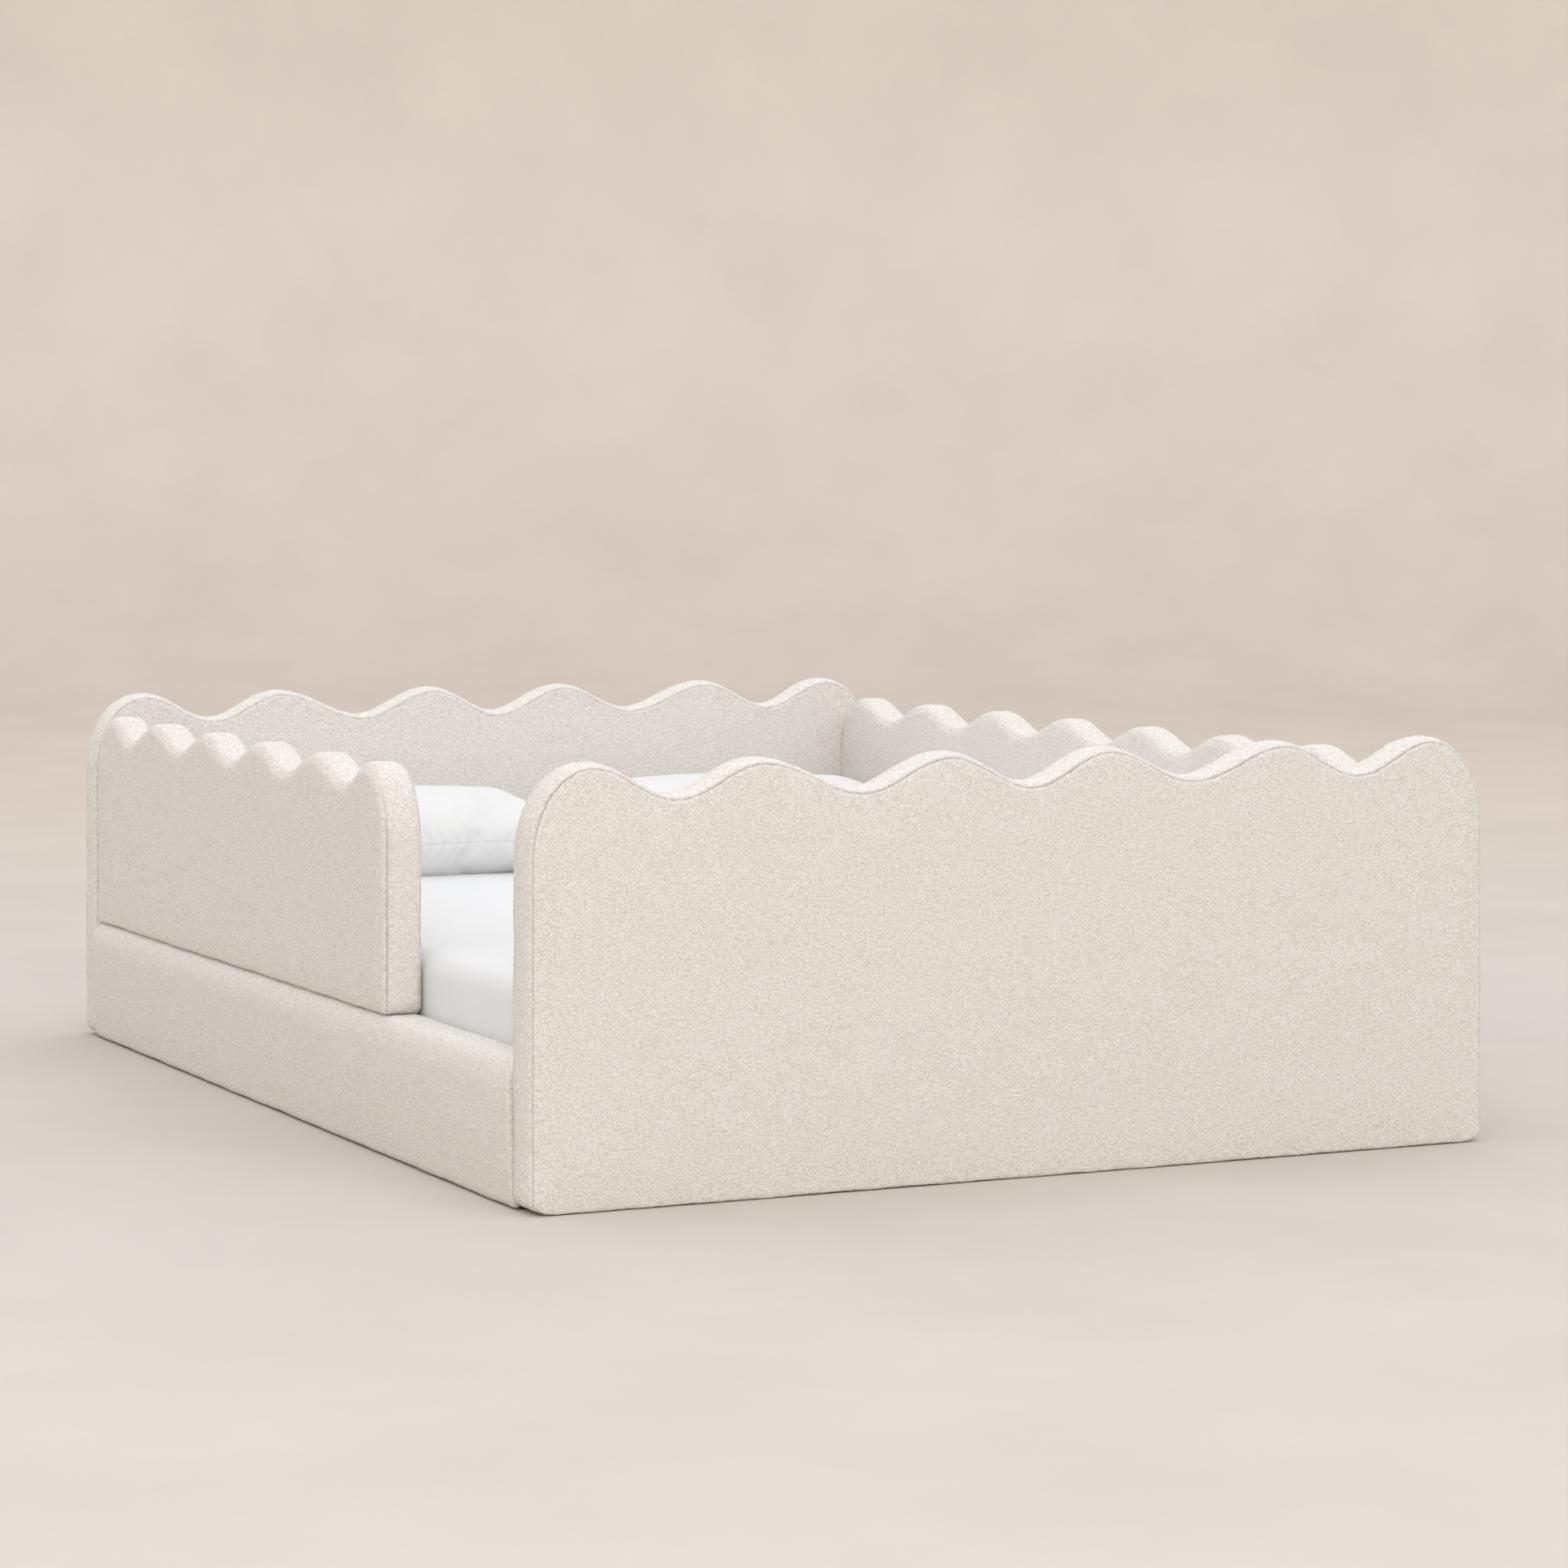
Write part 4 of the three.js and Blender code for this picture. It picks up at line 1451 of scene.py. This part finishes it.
@dataclass
class Pillow:
    """A soft pillow, sewn from two flat sheets and blown up."""

    side: str
    cut: tuple[float, float] = (0.74, 0.51)
    cells: tuple[int, int] = (54, 38)
    corner_pull: tuple[float, float] = (0.06, 0.09)
    start_rise: float = 30 * MM
    pressure: float = 9.0
    frames: int = 26
    seam_share: float = 0.4
    flat_share: float = 0.38
    plump: float = 9 * MM
    forward: float = 14 * MM
    seam_depth: float = 1.6 * MM
    gather_depth: float = 3.8 * MM
    gather_reach: float = 34 * MM
    gather_pitch: float = 23 * MM

    def on_rim(self, i: int, j: int) -> bool:
        """Tells whether a grid point lies on the sewn rim."""
        return i in (0, self.cells[0]) or j in (0, self.cells[1])

    def bag(self) -> tuple[np.ndarray, Faces]:
        """Sews two sheets along their edges.

        Returns:
            The points and the faces of the closed bag.
        """
        across, along = self.cells
        tilt = 0.6 if self.side == "left" else -0.4
        points: list[tuple[float, float, float]] = []
        index: dict[tuple[int, int, int], int] = {}
        for layer in (0, 1):
            for j in range(along + 1):
                for i in range(across + 1):
                    if layer and self.on_rim(i, j):
                        index[(i, j, 1)] = index[(i, j, 0)]
                        continue
                    u, v = 2 * i / across - 1, 2 * j / along - 1
                    rise = self.start_rise * (1 - u ** 4) * (1 - v ** 4)
                    waver = 1 + 0.03 * math.sin(9 * u + tilt) * math.cos(7 * v - tilt)
                    index[(i, j, layer)] = len(points)
                    height = rise * waver * (1 if layer else -1)
                    pulled_u = u * (1 - self.corner_pull[0] * v ** 6)
                    pulled_v = v * (1 - self.corner_pull[1] * u ** 6)
                    points.append((pulled_u * self.cut[0] / 2, pulled_v * self.cut[1] / 2, height))
        faces: Faces = []
        for layer in (0, 1):
            for j in range(along):
                for i in range(across):
                    ring = [(i, j), (i + 1, j), (i + 1, j + 1), (i, j + 1)]
                    corners = tuple(index[(a, b, layer)] for a, b in ring)
                    faces.append(corners if layer else corners[::-1])
        return np.array(points), faces

    def blow_up(self, piece: bpy.types.Object) -> None:
        """Simulates the filling's pressure.

        Args:
            piece: The sewn bag.
        """
        cloth = piece.modifiers.new("filling", "CLOTH")
        settings = cloth.settings
        settings.quality = 6
        settings.mass = 0.25
        settings.tension_stiffness = 25
        settings.compression_stiffness = 12
        settings.shear_stiffness = 8
        settings.bending_stiffness = 0.6
        settings.use_pressure = True
        settings.uniform_pressure_force = self.pressure
        settings.effector_weights.gravity = 0.0
        cloth.collision_settings.use_collision = False
        cloth.point_cache.frame_start = 1
        cloth.point_cache.frame_end = self.frames
        scene = bpy.context.scene
        for frame_number in range(1, self.frames + 1):
            scene.frame_set(frame_number)
        apply_modifiers(piece)
        scene.frame_set(1)

    def settle(self, piece: bpy.types.Object) -> None:
        """Fits the pillow to its place and flattens its underside.

        Args:
            piece: The filled bag.
        """
        low, high = box_of(f"pillow_{self.side}")
        high[2] += self.plump
        low[1] -= self.forward
        points = vertices_of(piece)
        start, end = points.min(axis=0), points.max(axis=0)
        share = (points - start) / (end - start)
        placed = low + share * (high - low)
        rest = np.clip(share[:, 2] / 0.5, 0.0, 1.0)
        rest = np.clip((rest - self.flat_share) / (1 - self.flat_share), 0.0, 1.0)
        above = np.clip(share[:, 2] / 0.5 - 1.0, 0.0, 1.0)
        height = high[2] - low[2]
        placed[:, 2] = low[2] + height * (self.seam_share * rest + (1 - self.seam_share) * above)
        move_vertices(piece, placed)

    def rim_shares(self, count: int) -> np.ndarray:
        """Marks the bag's points that lie on the sewn rim.

        Args:
            count: How many points the bag has.

        Returns:
            1 for each rim point and 0 for the others.
        """
        across, along = self.cells
        shares = np.zeros(count)
        for j in range(along + 1):
            for i in range(across + 1):
                if self.on_rim(i, j):
                    shares[j * (across + 1) + i] = 1.0
        return shares

    def gather(self, piece: bpy.types.Object) -> None:
        """Sinks the edge seam and puckers the cloth beside it.

        Args:
            piece: The finished pillow mesh, with its rim marked.
        """
        points = vertices_of(piece)
        normals = vertices_of(piece, "normal")
        mark = piece.data.attributes["seam"].data
        rim = np.empty(len(points), dtype=np.float32)
        mark.foreach_get("value", rim)
        stitched = np.clip((rim - 0.7) / 0.3, 0.0, 1.0)
        seam_height = float(points[rim > 0.99][:, 2].mean())
        drop = points[:, 2] - seam_height
        beside = np.exp(-(drop / self.gather_reach) ** 2) * (1 - normals[:, 2] ** 2)
        along = points[:, 0] + points[:, 1] + 0.25 * np.abs(drop)
        turns = along / self.gather_pitch
        uneven = 0.9 * np.sin(turns / 2.3) + 0.5 * np.sin(turns / 0.8)
        pucker = (1 - np.abs(np.sin(np.pi * turns + uneven))) ** 3
        strength = 0.55 + 0.45 * np.sin(turns / 1.7 + 1.0)
        depth = self.seam_depth * stitched + self.gather_depth * beside * pucker * strength
        mark.foreach_set("value", stitched.astype(np.float32))
        move_vertices(piece, points - normals * depth[:, None])

    def build(self) -> bpy.types.Object:
        """Builds the pillow.

        Returns:
            The pillow piece.
        """
        points, faces = self.bag()
        piece = new_piece(f"pillow_{self.side}_case", points, faces)
        mark_seams(piece, self.rim_shares(len(points)))
        self.blow_up(piece)
        self.settle(piece)
        smooth = piece.modifiers.new("smooth", "SUBSURF")
        smooth.levels = 2
        smooth.render_levels = 2
        apply_modifiers(piece)
        self.gather(piece)
        piece.data.polygons.foreach_set("use_smooth", [True] * len(piece.data.polygons))
        node = f"pillow_{self.side}"
        hand_over(piece, Finish.PILLOWCASE, node, node)
        return piece


# ------------------------------------------------------------------ timber and metal
@dataclass
class SlatBase:
    """Slats, centre beam and cleats with eased edges."""

    slat_count: int = 13
    ease: float = 2 * MM

    def build(self) -> list[bpy.types.Object]:
        """Builds the timber of the base.

        Returns:
            The timber pieces.
        """
        nodes = [(f"slat_{number:02d}", Finish.SLAT) for number in range(1, self.slat_count + 1)]
        nodes += [("centre_beam", Finish.BEAM)]
        nodes += [(f"{side}_slat_cleat", Finish.BEAM) for side in ("left", "right")]
        return [
            hand_over(
                eased_box(f"{node}_timber", node, self.ease), finish, "bed_frame", node
            )
            for node, finish in nodes
        ]


@dataclass
class GuardPosts:
    """The flat steel posts that stand the guards in the rails."""

    ease: float = 1 * MM

    def build(self) -> list[bpy.types.Object]:
        """Builds the posts.

        Returns:
            The posts.
        """
        pieces = []
        for side, count in POST_COUNTS:
            for number in range(1, count + 1):
                node = f"{side}_guard_post_{number}"
                piece = eased_box(f"{node}_steel", node, self.ease)
                hand_over(piece, Finish.BLACK_STEEL, f"{side}_guard", node)
                pieces.append(piece)
        return pieces


SLOT_FINISHES = {
    "plywood_board": Finish.PLYWOOD,
    "black_steel": Finish.BLACK_STEEL,
    "zinc_steel": Finish.ZINC,
    "felt_pad": Finish.FELT,
}


def dress_frame() -> None:
    """Gives every frame part that stays in view its finish."""
    slots = {part["node"]: part["material_slot"] for part in frame["record"]["subparts"]}
    for node, piece in frame["nodes"].items():
        if piece.hide_render:
            continue
        SLOT_FINISHES[slots[node]].on(piece)
        LOG.info("%s keeps its frame shape", node)


# ------------------------------------------------------------------ studio
@dataclass
class Studio:
    """Pale floor that sweeps up all round, soft lights and the camera."""

    floor_radius: float = 10.0
    bend: float = 3.0
    wall: float = 4.2
    world_color: tuple[float, float, float, float] = (1.0, 1.003, 1.01, 1.0)
    world_strength: float = 1.17
    camera_place: tuple[float, float, float] = (-2.843, -6.188, 0.968)
    camera_yaw: float = -25.514
    lens: float = 97.541
    shift_y: float = -0.19505

    def sweep(self) -> bpy.types.Object:
        """Builds the floor and its wall as one bowl.

        Returns:
            The bowl.
        """
        rim = self.floor_radius + self.bend
        profile = [(3.0, 0.0), (6.0, 0.0)]
        profile += [(rim - self.bend * short, self.bend * up) for short, up in quarter_turn(16)]
        profile.append((rim, self.wall))
        count = 96
        angles = [2 * math.pi * i / count for i in range(count)]
        points = [
            (radius * math.cos(angle), radius * math.sin(angle), height)
            for radius, height in profile for angle in angles
        ]
        faces = [tuple(range(count))]
        for ring in range(len(profile) - 1):
            for i in range(count):
                a, b = ring * count + i, ring * count + (i + 1) % count
                faces.append((a, a + count, b + count, b))
        bowl = new_piece("studio_sweep", np.array(points), faces)
        Finish.PAPER.on(bowl)
        return bowl

    def area(self, name: str, place: tuple, aim: tuple, size: float, power: float) -> None:
        """Adds a square soft light.

        Args:
            name: Name of the light.
            place: Where it hangs.
            aim: Point that it faces.
            size: Side of the square.
            power: Power in watts.
        """
        light = bpy.data.lights.new(name, "AREA")
        light.shape = "SQUARE"
        light.size = size
        light.energy = power
        light.color = (1.0, 0.995, 0.985)
        lamp = in_scene(name, light)
        lamp.location = place
        lamp.rotation_euler = (Vector(aim) - Vector(place)).to_track_quat("-Z", "Y").to_euler()

    def camera(self) -> None:
        """Adds the camera with an upright view."""
        data = bpy.data.cameras.new("camera")
        data.lens = self.lens
        data.sensor_width = 36.0
        data.shift_y = self.shift_y
        camera = in_scene("camera", data)
        camera.location = self.camera_place
        camera.rotation_euler = (math.pi / 2, 0.0, math.radians(self.camera_yaw))
        bpy.context.scene.camera = camera

    def build(self) -> None:
        """Builds the sweep, the lights, the world and the camera."""
        self.sweep()
        self.area("overhead", (0.3, 0.2, 5.5), (0.0, 0.0, 0.0), 5.0, 20.0)
        self.area("front", (-3.0, -8.0, 3.0), (0.0, 0.0, 0.3), 4.0, 158.0)
        world = bpy.data.worlds.new("studio")
        world.use_nodes = True
        background = world.node_tree.nodes["Background"]
        background.inputs["Color"].default_value = self.world_color
        background.inputs["Strength"].default_value = self.world_strength
        bpy.context.scene.world = world
        bpy.context.scene.view_settings.view_transform = "Standard"
        self.camera()


def main() -> None:
    """Builds the bed's looks and the studio."""
    logging.basicConfig(level=logging.INFO, format="%(message)s")
    makers = (
        EndPanels(), SideRails(), GuardPads(), Mattress(), Pillow("left"), Pillow("right"),
        SlatBase(), GuardPosts(),
    )
    for maker in makers:
        made = maker.build()
        for piece in made if isinstance(made, list) else [made]:
            LOG.info("%s: %d faces", piece.name, len(piece.data.polygons))
    dress_frame()
    Studio().build()


if __name__ == "__main__":
    main()
